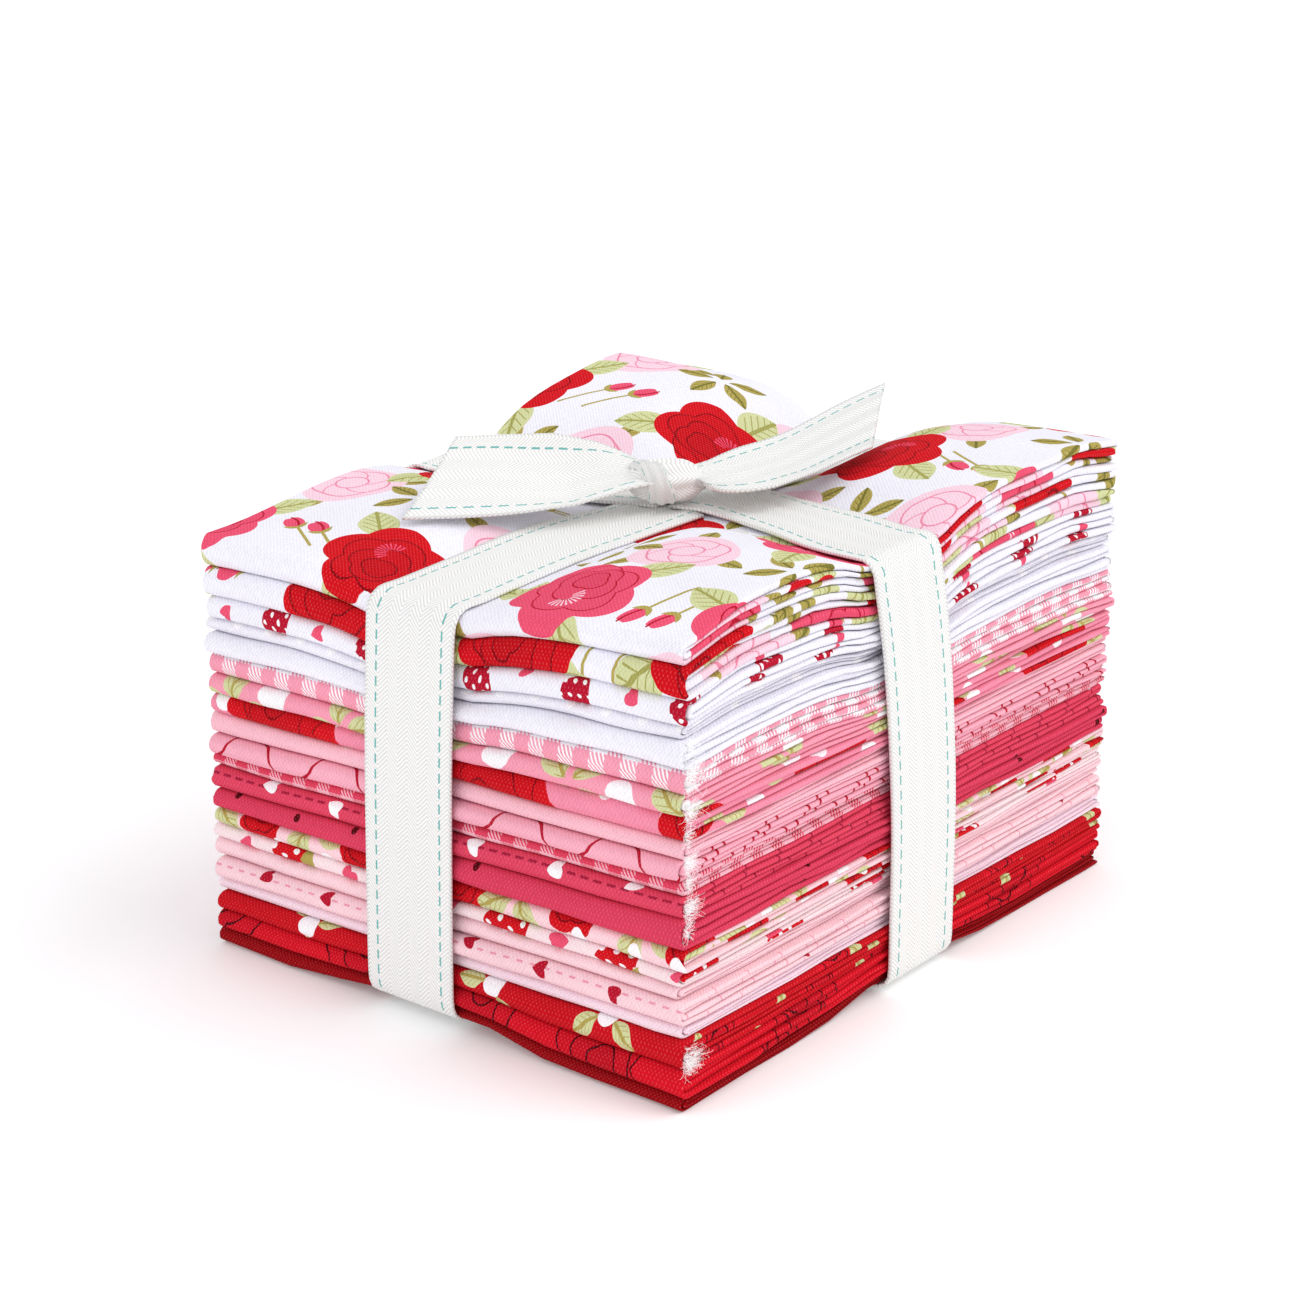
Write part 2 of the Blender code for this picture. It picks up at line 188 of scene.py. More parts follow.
def soft_light(name, towards, strength, spread, colour):
    """Even light from one side, as from a large diffuser. towards points at where it comes from."""
    data = bpy.data.lights.new(name, "SUN")
    data.energy = strength
    data.angle = math.radians(spread)
    data.color = colour
    light = bpy.data.objects.new(name, data)
    light.location = towards
    light.rotation_mode = "QUATERNION"
    light.rotation_quaternion = (-Vector(towards)).to_track_quat("-Z", "Y")
    bpy.context.scene.collection.objects.link(light)


def make_studio():
    scene = bpy.context.scene
    scene.view_settings.view_transform = "Standard"
    world = bpy.data.worlds.new("studio")
    world.use_nodes = True
    background = world.node_tree.nodes["Background"]
    background.inputs["Color"].default_value = (0.97, 0.98, 1.0, 1)
    background.inputs["Strength"].default_value = 0.72
    scene.world = world
    soft_light("key_light", (0.45, -0.75, 0.9), 1.3, 50, (1.0, 0.995, 0.985))
    soft_light("fill_light", (-0.8, 0.1, 0.6), 0.8, 70, (0.98, 0.98, 1.0))
    bpy.ops.mesh.primitive_plane_add(size=FLOOR_SIZE, location=(0, 0, -FLOOR_DROP))
    floor = bpy.context.object
    floor.name = "floor"
    made = bpy.data.materials.new("white_floor")
    made.use_nodes = True
    shader = made.node_tree.nodes["Principled BSDF"]
    shader.inputs["Base Color"].default_value = (0.96, 0.96, 0.96, 1)
    shader.inputs["Roughness"].default_value = 0.85
    shader.inputs["Emission Color"].default_value = (1.0, 1.0, 1.0, 1)
    shader.inputs["Emission Strength"].default_value = 0.1
    floor.data.materials.append(made)


# Numbers and colours worked out by a material's nodes

def feed(tree, value, socket):
    """Sets a socket to a number or colour, or links it to a signal."""
    if isinstance(value, Signal):
        tree.links.new(value.socket, socket)
    elif isinstance(value, tuple):
        socket.default_value = (*value, 1.0)
    else:
        socket.default_value = value


class Signal:
    """A number that varies over a surface."""

    def __init__(self, tree, socket):
        self.tree = tree
        self.socket = socket

    def math(self, operation, *values):
        node = self.tree.nodes.new("ShaderNodeMath")
        node.operation = operation
        for socket, value in zip(node.inputs, values):
            feed(self.tree, value, socket)
        return Signal(self.tree, node.outputs[0])

    def __add__(self, other):
        return self.math("ADD", self, other)

    __radd__ = __add__

    def __sub__(self, other):
        return self.math("SUBTRACT", self, other)

    def __mul__(self, other):
        return self.math("MULTIPLY", self, other)

    __rmul__ = __mul__

    def __truediv__(self, other):
        return self.math("DIVIDE", self, other)

    def floor(self):
        return self.math("FLOOR", self)

    def fract(self):
        return self.math("FRACT", self)

    def abs(self):
        return self.math("ABSOLUTE", self)

    def sin(self):
        return self.math("SINE", self)

    def cos(self):
        return self.math("COSINE", self)

    def root(self):
        return self.math("SQRT", self)

    def below(self, limit):
        return self.math("LESS_THAN", self, limit)

    def above(self, limit):
        return self.math("GREATER_THAN", self, limit)

    def least(self, other):
        return self.math("MINIMUM", self, other)

    def most(self, other):
        return self.math("MAXIMUM", self, other)


def distance(a, b):
    return (a * a + b * b).root()


def bearing(a, b):
    return a.math("ARCTAN2", b, a)


def turned(a, b, angle):
    """The point (a, b) in axes turned by an angle, which may itself vary."""
    if isinstance(angle, Signal):
        cosine, sine = angle.cos(), angle.sin()
    else:
        cosine, sine = math.cos(angle), math.sin(angle)
    return a * cosine + b * sine, b * cosine - a * sine


def srgb(code):
    """A colour from its six hexadecimal digits."""
    values = [int(code[i:i + 2], 16) / 255 for i in (0, 2, 4)]
    return tuple(v / 12.92 if v <= 0.04045 else ((v + 0.055) / 1.055) ** 2.4 for v in values)


class Canvas:
    """The flat cloth of one material, painted layer by layer. Lengths are in millimetres."""

    def __init__(self, name, ground):
        self.material = bpy.data.materials.new(name)
        self.material.use_nodes = True
        self.tree = self.material.node_tree
        self.shader = self.tree.nodes["Principled BSDF"]
        place = self.tree.nodes.new("ShaderNodeUVMap")
        place.uv_map = CLOTH_MAP
        split = self.tree.nodes.new("ShaderNodeSeparateXYZ")
        self.tree.links.new(place.outputs["UV"], split.inputs[0])
        self.u = Signal(self.tree, split.outputs[0]) * (1 / MM)
        self.v = Signal(self.tree, split.outputs[1]) * (1 / MM)
        self.colour = ground

    def mixed(self, share, first, second):
        node = self.tree.nodes.new("ShaderNodeMix")
        node.data_type = "RGBA"
        feed(self.tree, share, node.inputs["Factor"])
        feed(self.tree, first, node.inputs[6])
        feed(self.tree, second, node.inputs[7])
        return Signal(self.tree, node.outputs[2])

    def paint(self, mask, colour):
        self.colour = self.mixed(mask, self.colour, colour)

    def noise(self, scale, detail=2.0):
        """Noise over the cloth, about 0.5, with features of 1 / scale millimetres."""
        join = self.tree.nodes.new("ShaderNodeCombineXYZ")
        feed(self.tree, self.u, join.inputs[0])
        feed(self.tree, self.v, join.inputs[1])
        node = self.tree.nodes.new("ShaderNodeTexNoise")
        node.noise_dimensions = "2D"
        node.inputs["Scale"].default_value = scale
        node.inputs["Detail"].default_value = detail
        self.tree.links.new(join.outputs[0], node.inputs["Vector"])
        return Signal(self.tree, node.outputs[0])

    def cells(self, period, shift=(0, 0), seed=0, jitter=0.0):
        """Repeats in a half drop: where a point lies about its repeat's middle, and three lots."""
        across = (self.u + shift[0]) / period[0]
        column = across.floor()
        along = (self.v + shift[1]) / period[1] + (column * 0.5).fract()
        row = along.floor()
        join = self.tree.nodes.new("ShaderNodeCombineXYZ")
        feed(self.tree, column, join.inputs[0])
        feed(self.tree, row, join.inputs[1])
        join.inputs[2].default_value = seed
        node = self.tree.nodes.new("ShaderNodeTexWhiteNoise")
        node.noise_dimensions = "3D"
        self.tree.links.new(join.outputs[0], node.inputs["Vector"])
        split = self.tree.nodes.new("ShaderNodeSeparateXYZ")
        self.tree.links.new(node.outputs["Color"], split.inputs[0])
        lots = [Signal(self.tree, output) for output in split.outputs]
        a = (across - column - 0.5) * period[0]
        b = (along - row - 0.5) * period[1]
        if jitter:
            a = a + (lots[0] - 0.5) * jitter
            b = b + (lots[1] - 0.5) * jitter
        return a, b, lots

    def scattered(self, *repeat):
        """Repeats as cells gives them, each turned its own way."""
        a, b, lots = self.cells(*repeat)
        return *turned(a, b, lots[2] * TURN), lots


CLOTH_MAP = "cloth"
TURN = 2 * math.pi

WHITE = srgb("F2F0F9")
WARM_WHITE = srgb("FBF8FA")
RED = srgb("D2101C")
RED_LINE = srgb("8C0712")
CORAL = srgb("EC5373")
CORAL_LINE = srgb("B91530")
BLUSH = srgb("F9D3E1")
BLUSH_LINE = srgb("EE8FAA")
PINK = srgb("F59DB2")
LIGHT_PINK = srgb("F9BECB")
PALE_PINK = srgb("FBD3DA")
LILAC_PINK = srgb("F8DDE8")
ROSE = srgb("DF4460")
ROSE_DARK = srgb("A61F3E")
OLIVE = srgb("B3A356")
OLIVE_LINE = srgb("7A7432")
SAGE = srgb("D3D6A0")
SAGE_LINE = srgb("A5A359")
DEEP_RED = srgb("D81226")
DARK_RED = srgb("A4060F")
BLACK_RED = srgb("5A0610")


# Motifs: each paints itself about the point where a and b are 0

def rosette(canvas, a, b, radius, fill, line, petals=(5, 5, 4, 3), width=0.34, drift=0.07):
    """Rings of scalloped petals, one inside the other, each outlined and a little off centre."""
    for ring, count in enumerate(petals):
        size = radius * (1 - 0.24 * ring)
        x = a - radius * drift * ring
        y = b + radius * drift * 0.6 * ring
        scallop = ((bearing(x, y) + 0.9 * ring) * (count / 2)).cos().abs()
        rim = distance(x, y) - size * (scallop * 0.2 + 0.78)
        shade = 0.10 * ring
        canvas.paint(rim.below(0), canvas.mixed(shade, fill, line))
        if ring:
            canvas.paint((rim + width / 2).abs().below(width / 2), line)


def open_rose(canvas, a, b, radius, fill, line, width=0.42):
    """A soft disc with petals in outline, each sliding under the next like an iris's blades."""
    angle = bearing(a, b)
    reach = distance(a, b)
    lobes = (angle * 3).cos() * (radius * 0.07)
    canvas.paint(reach.below(lobes + radius * 0.95), fill)
    centre = radius * 0.3
    rim = (angle * 5).cos() * (radius * 0.03) + radius * 0.7
    blades = ((angle + reach * (1.9 / radius)) * (5 / TURN)).fract() - 0.5
    blade = (blades.abs() * reach * (TURN / 5)).below(width / 2)
    between = reach.above(centre) * reach.below(rim)
    rings = (reach - rim).abs().below(width / 2).most((reach - centre).abs().below(width / 2))
    canvas.paint(rings.most(blade * between), line)


def stamens(canvas, a, b, radius, colour):
    """Short pale strokes that fan out of a flower's heart."""
    reach = distance(a, b)
    strokes = (bearing(a, b) * (22 / TURN)).fract().below(0.42)
    canvas.paint(strokes * reach.above(radius * 0.35) * reach.below(radius) * b.above(0), colour)


def leaf(canvas, a, b, length, breadth, fill, line):
    """A pointed leaf along a, from 0 to length, with its midrib and slanting veins."""
    share = a / length
    edge = (share - share * share) * (4 * breadth)
    side = b.abs()
    inside = side.below(edge)
    canvas.paint(inside, fill)
    veins = ((a + side * -1.2) / (length * 0.17)).fract().below(0.16)
    ribs = veins.most(side.below(0.22 + breadth * 0.03))
    canvas.paint(ribs * side.below(edge * 0.78), line)


def leaf_ring(canvas, a, b, count, start, length, breadth, fill, line):
    """Leaves round a point, all like the first, from a radius of start outwards."""
    angle = bearing(a, b) / TURN + 0.5
    off = ((angle * count).fract() - 0.5) * (TURN / count)
    reach = distance(a, b)
    x = reach * off.cos() - start
    leaf(canvas, x, reach * off.sin(), length, breadth, fill, line)


def bud(canvas, a, b, length, fill, line, green, stem=10.0):
    """A rosebud along a, with a calyx at its foot and a stem."""
    canvas.paint(b.abs().below(0.32) * a.below(0.5) * a.above(-stem), green)
    share = a / length
    edge = (share - share * share * 0.9).most(0.0).root() * (length * 0.62)
    canvas.paint(b.abs().below(edge) * a.below(length * 1.02), fill)
    fold = (b - (a * (2.6 / length)).sin() * (length * 0.13)).abs().below(0.26)
    canvas.paint(fold * b.abs().below(edge), line)
    cup = b.abs().below(edge * 1.12 + 0.3) * a.above(-0.4)
    ragged = a.below(length * 0.16 + b.abs() * 0.55)
    canvas.paint(cup * ragged, green)


def heart(canvas, a, b, size, colour):
    lifted = b - a.abs() * 0.75
    canvas.paint(distance(a, lifted).below(size), colour)


def berry(canvas, a, b, size, fill, seeds, green):
    """A strawberry, point down along b, with seeds and a small green cap."""
    squeeze = 1.12 + b * (0.42 / size)
    body = distance(a / squeeze, b).below(size)
    canvas.paint(body, fill)
    if seeds:
        pitch = size * 0.62
        row = (b / pitch).floor()
        x = ((a / pitch + (row * 0.5).fract()).fract() - 0.5) * pitch
        y = ((b / pitch).fract() - 0.5) * pitch
        canvas.paint(body * distance(x, y * 0.7).below(size * 0.11), seeds)
    if green:
        cap = (a.abs() * 0.8 + (b - size * 0.95).abs() * 1.8).below(size * 0.7)
        canvas.paint(cap, green)


def dashes(canvas, across, along, pitch, period, length, width, colour):
    """Rows of dashes, a pitch apart."""
    row = (across / pitch).fract() - 0.5
    run = (along / period).fract()
    canvas.paint(row.abs().below(width / 2 / pitch) * run.below(length / period), colour)


def gingham(canvas, period, full, hatch):
    """Squares where the stripes cross, and hatched squares where one stripe lies alone."""
    first = (canvas.u / period).fract().below(0.5)
    second = (canvas.v / period).fract().below(0.5)
    lines = ((canvas.u + canvas.v) / hatch).fract().below(0.52)
    canvas.paint((first + second).above(0.5) * lines, full)
    canvas.paint(first * second, full)


# Prints: each paints one cloth

def print_roses(canvas, period=(46, 42), size=13.0, shift=(12, 5), seed=1, coral_share=0.5,
                pale_size=10.5, leaves=(OLIVE, OLIVE_LINE)):
    """Large roses in a half drop, pale ones and sprigs between them, and buds in the gaps."""
    quarter = (period[0] / 2, period[1] / 4)
    x, y, _ = canvas.scattered(period, (shift[0] + quarter[0], shift[1] + quarter[1]), seed + 3, 5)
    leaf_ring(canvas, x, y, 3, pale_size * 0.7, size * 0.6, size * 0.15, *leaves)
    open_rose(canvas, x, y, pale_size, BLUSH, BLUSH_LINE)
    x, y, _ = canvas.scattered(period, (shift[0] + quarter[0], shift[1] - quarter[1]), seed + 5, 5)
    leaf_ring(canvas, x + 1.5, y, 5, 1.6, size * 0.62, size * 0.15, *leaves)
    a, b, lots = canvas.cells(period, (shift[0], shift[1] + period[1] / 2), seed + 7, 6)
    for side in (-1, 1):
        x, y = turned(a, b + side * size * 0.24, lots[2] * TURN)
        bud(canvas, x, y, size * 0.46, CORAL, CORAL_LINE, OLIVE)
    x, y, lots = canvas.scattered(period, shift, seed, 6)
    leaf_ring(canvas, x, y, 3, size * 0.6, size * 1.0, size * 0.3, SAGE, SAGE_LINE)
    coral = lots[2].below(coral_share)
    rosette(canvas, x, y, size, canvas.mixed(coral, RED, CORAL),
            canvas.mixed(coral, RED_LINE, CORAL_LINE))
    stamens(canvas, x + size * 0.2, y - size * 0.1, size * 0.26, canvas.mixed(coral, CORAL, BLUSH))


def print_pink_floral(canvas):
    print_roses(canvas, (52, 44), 14.0, (38, 14), 21, 0.3, 12.0)


def print_berries(canvas, period=(21, 24), size=3.0, fill=CORAL_LINE, seeds=WARM_WHITE,
                  green=None, shift=(19, 7), seed=31, drops=CORAL):
    a, b, lots = canvas.cells(period, shift, seed, jitter=3)
    x, y = turned(a, b, (lots[2] - 0.5) * 2.2)
    berry(canvas, x, y, size, fill, seeds, green)
    if drops:
        drop_shift = (shift[0], shift[1] + period[1] / 2)
        x, y, _ = canvas.scattered(period, drop_shift, seed + 5, 3)
        heart(canvas, x, y, size * 0.42, drops)


def print_tonal(canvas):
    a, b, _ = canvas.cells((9, 8))
    canvas.paint(distance(a, b).below(1.1), WARM_WHITE)


def print_mottled(canvas):
    """Dark clouds, as on a hand-dyed cloth."""
    canvas.paint(canvas.noise(7.0) * 0.45, BLACK_RED)


def print_plain(canvas):
    """No print, only the shading that every cloth has."""


def print_pink_gingham(canvas):
    gingham(canvas, 6.8, PINK, 0.9)


def print_leaf_pink(canvas):
    x, y, _ = canvas.scattered((31, 27), (4, 9), 41, 5)
    leaf_ring(canvas, x, y, 4, 1.2, 9.5, 2.9, SAGE, OLIVE)
    a, b, _ = canvas.cells((31, 27), (1.5, 22), 43, jitter=5)
    canvas.paint(distance(a, b).below(3.4), WARM_WHITE)


def print_red_flower(canvas):
    a, b, _ = canvas.cells((17, 15), (3, 5), 53, jitter=5)
    canvas.paint(distance(a, b * 1.2).below(2.5), WARM_WHITE)
    x, y, _ = canvas.scattered((58, 50), (7, 5), 51, 4)
    leaf_ring(canvas, x, y, 4, 11, 10, 3, SAGE, OLIVE)
    rosette(canvas, x, y, 15.0, RED, RED_LINE)


def print_small_berries(canvas):
    print_berries(canvas, (24, 21), 2.3, ROSE, LIGHT_PINK, None, (7, 8), 61, WARM_WHITE)


def print_scallops(canvas):
    """Thin arcs in staggered rows."""
    pitch, period = 11.0, 15.0
    row = (canvas.v / pitch).floor()
    x = ((canvas.u / period + (row * 0.5).fract()).fract() - 0.5) * period
    y = (canvas.v / pitch).fract() * pitch
    arc = (distance(x, y * 1.1) - period * 0.42).abs().below(0.3)
    canvas.paint(arc, CORAL_LINE)


def print_red_gingham(canvas):
    gingham(canvas, 6.0, ROSE, 0.8)


def print_heart_dash(canvas, hearts=WARM_WHITE, dash=ROSE_DARK, size=1.5, seed=71, shift=(3, 2),
                     stroke=(1.9, 0.5)):
    dashes(canvas, canvas.u - 1.2, canvas.v, 9.5, 3.0, *stroke, dash)
    a, b, lots = canvas.cells((19, 17), shift, seed, jitter=2)
    x, y = turned(a, b, (lots[2] - 0.5) * 1.6)
    heart(canvas, x, y, size, hearts)


def print_dotted(canvas):
    a, b, _ = canvas.cells((17, 15), (4, 1), 81, jitter=4)
    canvas.paint(distance(a, b).below(0.7), BLACK_RED)
    a, b, _ = canvas.cells((43, 39), (21, 13), 83, jitter=6)
    canvas.paint(distance(a * 0.7, b).below(3.0), WARM_WHITE)


def print_leaf_pale(canvas):
    x, y, _ = canvas.scattered((29, 26), (17, 3), 91, 4)
    leaf_ring(canvas, x, y, 4, 1.0, 9.0, 2.7, SAGE, OLIVE)
    a, b, _ = canvas.cells((29, 26), (18, 16), 93, jitter=4)
    rosette(canvas, a, b, 6.4, RED, RED_LINE, (5, 4, 3))
    a, b, _ = canvas.cells((13, 12), (1, 2), 95, jitter=4)
    canvas.paint(distance(a, b).below(1.5), WARM_WHITE)


def print_berry_pale(canvas):
    print_berries(canvas, (30, 26), 4.6, RED, WARM_WHITE, OLIVE, (27, 6), 101, CORAL)


def print_heart_dash_pale(canvas):
    print_heart_dash(canvas, CORAL_LINE, srgb("EE9DB0"), 1.3, 111, (3.5, 5), (1.4, 0.32))


def print_floral_red(canvas):
    a, b, lots = canvas.cells((27, 24), (9, 3), 121, jitter=5)
    x, y = turned(a, b, lots[2] * TURN)
    leaf_ring(canvas, x, y, 3, 2.0, 6.0, 1.6, SAGE, OLIVE)
    canvas.paint(distance(a, b).below(2.2), WARM_WHITE)
    a, b, _ = canvas.cells((27, 24), (19, 8), 123, jitter=5)
    rosette(canvas, a, b, 6.0, DEEP_RED, BLACK_RED, (5, 4, 3))


def print_lined_red(canvas):
    """Large roses in dark outline only."""
    x, y, _ = canvas.scattered((34, 30), (12, 12), 131, 5)
    rosette(canvas, x, y, 13.0, DEEP_RED, BLACK_RED, (6, 5, 4, 3), 0.4)


PRINTS = {
    "rose_floral_white": (WHITE, print_roses),
    "pink_floral_white": (WHITE, print_pink_floral),
    "berry_white": (WHITE, print_berries),
    "tonal_white": (srgb("F0EDF6"), print_tonal),
    "plain_white": (WHITE, print_plain),
    "pink_gingham": (WARM_WHITE, print_pink_gingham),
    "leaf_pink": (PINK, print_leaf_pink),
    "red_flower_pink": (srgb("F28FA8"), print_red_flower),
    "small_berry_pink": (LIGHT_PINK, print_small_berries),
    "scallop_pink": (srgb("F7AFC0"), print_scallops),
    "red_gingham": (srgb("F5B9C6"), print_red_gingham),
    "heart_dash_rose": (ROSE, print_heart_dash),
    "dotted_rose": (srgb("DA3E5C"), print_dotted),
    "leaf_pale_pink": (PALE_PINK, print_leaf_pale),
    "berry_pale": (srgb("FBE3E6"), print_berry_pale),
    "plain_pale_pink": (PALE_PINK, print_plain),
    "heart_dash_pale_pink": (PALE_PINK, print_heart_dash_pale),
    "plain_lilac_pink": (LILAC_PINK, print_plain),
    "floral_red": (srgb("C9101E"), print_floral_red),
    "lined_red": (DEEP_RED, print_lined_red),
    "plain_dark_red": (DARK_RED, print_mottled),
}

# The weave of the cotton
THREAD = 0.42
WEAVE_DEPTH = 0.09 * MM
BUMP_STRENGTH = 0.8
COTTON_SPECULAR = 0.04

# The cloths whose print has rubbed off where the folds meet at the front corner, the place of that
# corner on the flat cloth and how far it is bare
RUBBED = ("pink_gingham", "leaf_pink", "red_flower_pink", "small_berry_pink", "scallop_pink",
          "red_gingham", "heart_dash_rose", "leaf_pale_pink", "berry_pale", "floral_red")
RUBBED_PLACE = (138.0, 113.0)
RUBBED_REACH = 4.5


def finish_cloth(canvas):
    """Weave, uneven dye, light flecks on the thread crossings and the soft surface of matt cotton
    over the painted print; the flecks are partly undyed fibre and partly a painted glint.
    """
    crossing = (canvas.u * (math.pi / THREAD)).sin() * (canvas.v * (math.pi / THREAD)).sin()
    fibre = canvas.noise(1.3, 3.0)
    patch = canvas.noise(0.06, 2.0)
    if canvas.material.name in RUBBED:
        corner = distance(canvas.u - RUBBED_PLACE[0], (canvas.v - RUBBED_PLACE[1]) * 2)
        canvas.paint((fibre * 5 - corner + RUBBED_REACH).most(0.0).least(1.0), WARM_WHITE)
    # Light flecks on the raised thread crossings: partly undyed fibre, partly a painted glint
    fleck_and_glint = canvas.mixed((crossing - 0.4).most(0.0) * fibre * 0.2, canvas.colour, WARM_WHITE)
    shade = crossing * 0.08 + fibre * 0.16 + patch * 0.10 + 0.81
    node = canvas.tree.nodes.new("ShaderNodeMix")
    node.data_type = "RGBA"
    node.blend_type = "MULTIPLY"
    node.inputs["Factor"].default_value = 1.0
    feed(canvas.tree, fleck_and_glint, node.inputs[6])
    join = canvas.tree.nodes.new("ShaderNodeCombineXYZ")
    for socket in join.inputs:
        feed(canvas.tree, shade, socket)
    canvas.tree.links.new(join.outputs[0], node.inputs[7])
    canvas.tree.links.new(node.outputs[2], canvas.shader.inputs["Base Color"])
    bump = canvas.tree.nodes.new("ShaderNodeBump")
    bump.inputs["Strength"].default_value = BUMP_STRENGTH
    bump.inputs["Distance"].default_value = WEAVE_DEPTH
    feed(canvas.tree, crossing * 0.5 + fibre * 0.7, bump.inputs["Height"])
    canvas.tree.links.new(bump.outputs[0], canvas.shader.inputs["Normal"])
    feed(canvas.tree, fibre * 0.12 + 0.78, canvas.shader.inputs["Roughness"])
    canvas.shader.inputs["Specular IOR Level"].default_value = COTTON_SPECULAR
    return canvas.material


def cloth_material(slot):
    ground, draw = PRINTS[slot]
    canvas = Canvas(slot, ground)
    draw(canvas)
    return finish_cloth(canvas)


# The shape of the stack

def curve_through(left, centre, right, share):
    """A parabola that is left at share -1, centre at 0 and right at 1."""
    return centre + (right - left) / 2 * share + ((left + right) / 2 - centre) * share * share


def pressed(offset):
    """1 under a ribbon, falling steeply at its edges and then ever more gently to 0."""
    beyond = np.hypot(np.maximum(np.abs(offset) - PRESSED_HALF, 0), PRESSED_SOFT) - PRESSED_SOFT
    return np.exp(-beyond / PRESSED_FALL) * (1 - smooth(beyond / (PRESSED_END - PRESSED_HALF)))


def course_at(course, run):
    return np.interp(run, *zip(*course))


def drawn_up(offset):
    """1 over the ribbon's crossing under the stack, falling to 0 clear of it."""
    return smooth((CHANNEL_END - np.abs(offset)) / (CHANNEL_END - CHANNEL_HALF))


def joined(first, second, scale):
    """The depth where two troughs cross, no deeper there than either is alone."""
    return first + second - first * second / scale


def surface_shape(x, y):
    """How far the top of the stack rises above a plane through its corners."""
    under_a = pressed(y - BAND_A_LINE)
    under_b = pressed(x - course_at(VALLEY_B, y))
    dip_a = under_a * curve_through(DIP_LEFT, DIP_CENTRE, DIP_RIGHT, x / (LENGTH / 2))
    dip_b = under_b * curve_through(DIP_FRONT, DIP_CENTRE, DIP_BACK, y / (WIDTH / 2))
    end = smooth((np.abs(x) - CROWN_END) / (LENGTH / 2 - CROWN_END))
    fullness = CROWN + CROWN_TWIST * x / (LENGTH / 2) * clamp(y / (WIDTH / 2))
    crown = fullness * (1 - under_a) * (1 - under_b) * (1 - end)
    return crown - joined(dip_a, dip_b, DIP_CENTRE)


def channel_depth(x, y):
    """How far the underside is drawn up where the ribbon crosses it."""
    depth_a = CHANNEL_A * drawn_up(y - BAND_A_LINE)
    depth_b = CHANNEL_B * drawn_up(x - BAND_B_LINE)
    return joined(depth_a, depth_b, CHANNEL_A)


def corner_thicknesses(number):
    """(front, right, left, back) thickness of one fat quarter, counted from the top."""
    quarter = QUARTERS[number]
    middle = (quarter.left + quarter.front) / 2
    loose = number < LOOSE_COUNT
    right = middle * (RIGHT_LOFT if loose else 1)
    back = middle * (BACK_LOFT if loose else 1)
    return [quarter.front, right, quarter.left, back]


CORNERS = np.vstack([np.zeros(4), np.cumsum(
    [corner_thicknesses(COUNT - 1 - below) for below in range(COUNT)], axis=0)])


def ripple(seed, x, y, span):
    """A gentle unevenness of about 1 at most, of waves from span to a third of it long."""
    random = np.random.RandomState(seed)
    total = 0
    for wave in range(5):
        heading = random.uniform(0, math.pi)
        length = span / random.uniform(1, 3)
        phase = random.uniform(0, TURN)
        run = x * math.cos(heading) + y * math.sin(heading)
        total = total + np.sin(run * TURN / length + phase)
    return total / 3


def boundary(level, x, y):
    """Height of the surface between two fat quarters. Level 0 is the underside of the stack."""
    front, right, left, back = CORNERS[level]
    share_x = x / LENGTH + 0.5
    share_y = y / WIDTH + 0.5
    height = mix(mix(front, right, share_x), mix(left, back, share_x), share_y)
    height = height + surface_shape(x, y) * clamp((level - COUNT + DIP_SHARING) / DIP_SHARING)
    height = height + channel_depth(x, y) * clamp(1 - level / CHANNEL_SHARING)
    wave = SURFACE_WAVE * min(level / 2, 1)
    return height + wave * ripple(level, x, y, 60.0)


def top_of_stack(x, y):
    return boundary(COUNT, x, y)


# The folded cloth

def stations(low, high, step):
    """Places from low to high, closer together near the ends, where the cloth turns."""
    inner_low, inner_high = low + sum(EDGE_STEPS), high - sum(EDGE_STEPS)
    count = max(round((inner_high - inner_low) / step), 1)
    inner = np.linspace(inner_low, inner_high, count + 1)
    return np.concatenate([[low, low + EDGE_STEPS[0]], inner, [high - EDGE_STEPS[0], high]])


def half_turn(steps):
    return np.linspace(0, math.pi, steps + 1)[1:-1]


def lengthwise_path(left, right, step):
    """The four layers from free end to free end: x, height above the packet and direction."""
    heights = STRIP / 2 + LAYER_PITCH * np.arange(LAYERS)
    middle = SECTION_HEIGHT / 2
    reach = 1.5 * LAYER_PITCH + STRIP / 2
    turn_x = left + reach
    fold_x = right - (0.5 * LAYER_PITCH + STRIP / 2)
    fold_level = (heights[2] + heights[3]) / 2
    xs = stations(turn_x, fold_x, step)

    def run(layer, leftward, end=None):
        places = xs if end is None else np.append(xs, end)
        if leftward:
            places = places[::-1]
        heading = math.pi if leftward else 0.0
        return [(x, heights[layer], heading) for x in places]

    path = run(0, True, right - LOWER_END_INSET)
    for angle in half_turn(12):
        radius = 1.5 * LAYER_PITCH
        path.append((turn_x - radius * math.sin(angle), middle - radius * math.cos(angle),
                     math.pi - angle))
    path += run(3, False)
    for angle in half_turn(6):
        radius = 0.5 * LAYER_PITCH
        path.append((fold_x + radius * math.sin(angle), fold_level + radius * math.cos(angle),
                     -angle))
    path += [(x, z, -math.pi) for x, z, _ in run(2, True)]
    for angle in half_turn(6):
        radius = 0.5 * LAYER_PITCH
        path.append((turn_x - radius * math.sin(angle), middle + radius * math.cos(angle),
                     math.pi + angle))
    path += [(x, z, TURN) for x, z, _ in run(1, False, right - UPPER_END_INSET)]
    return np.array(path)


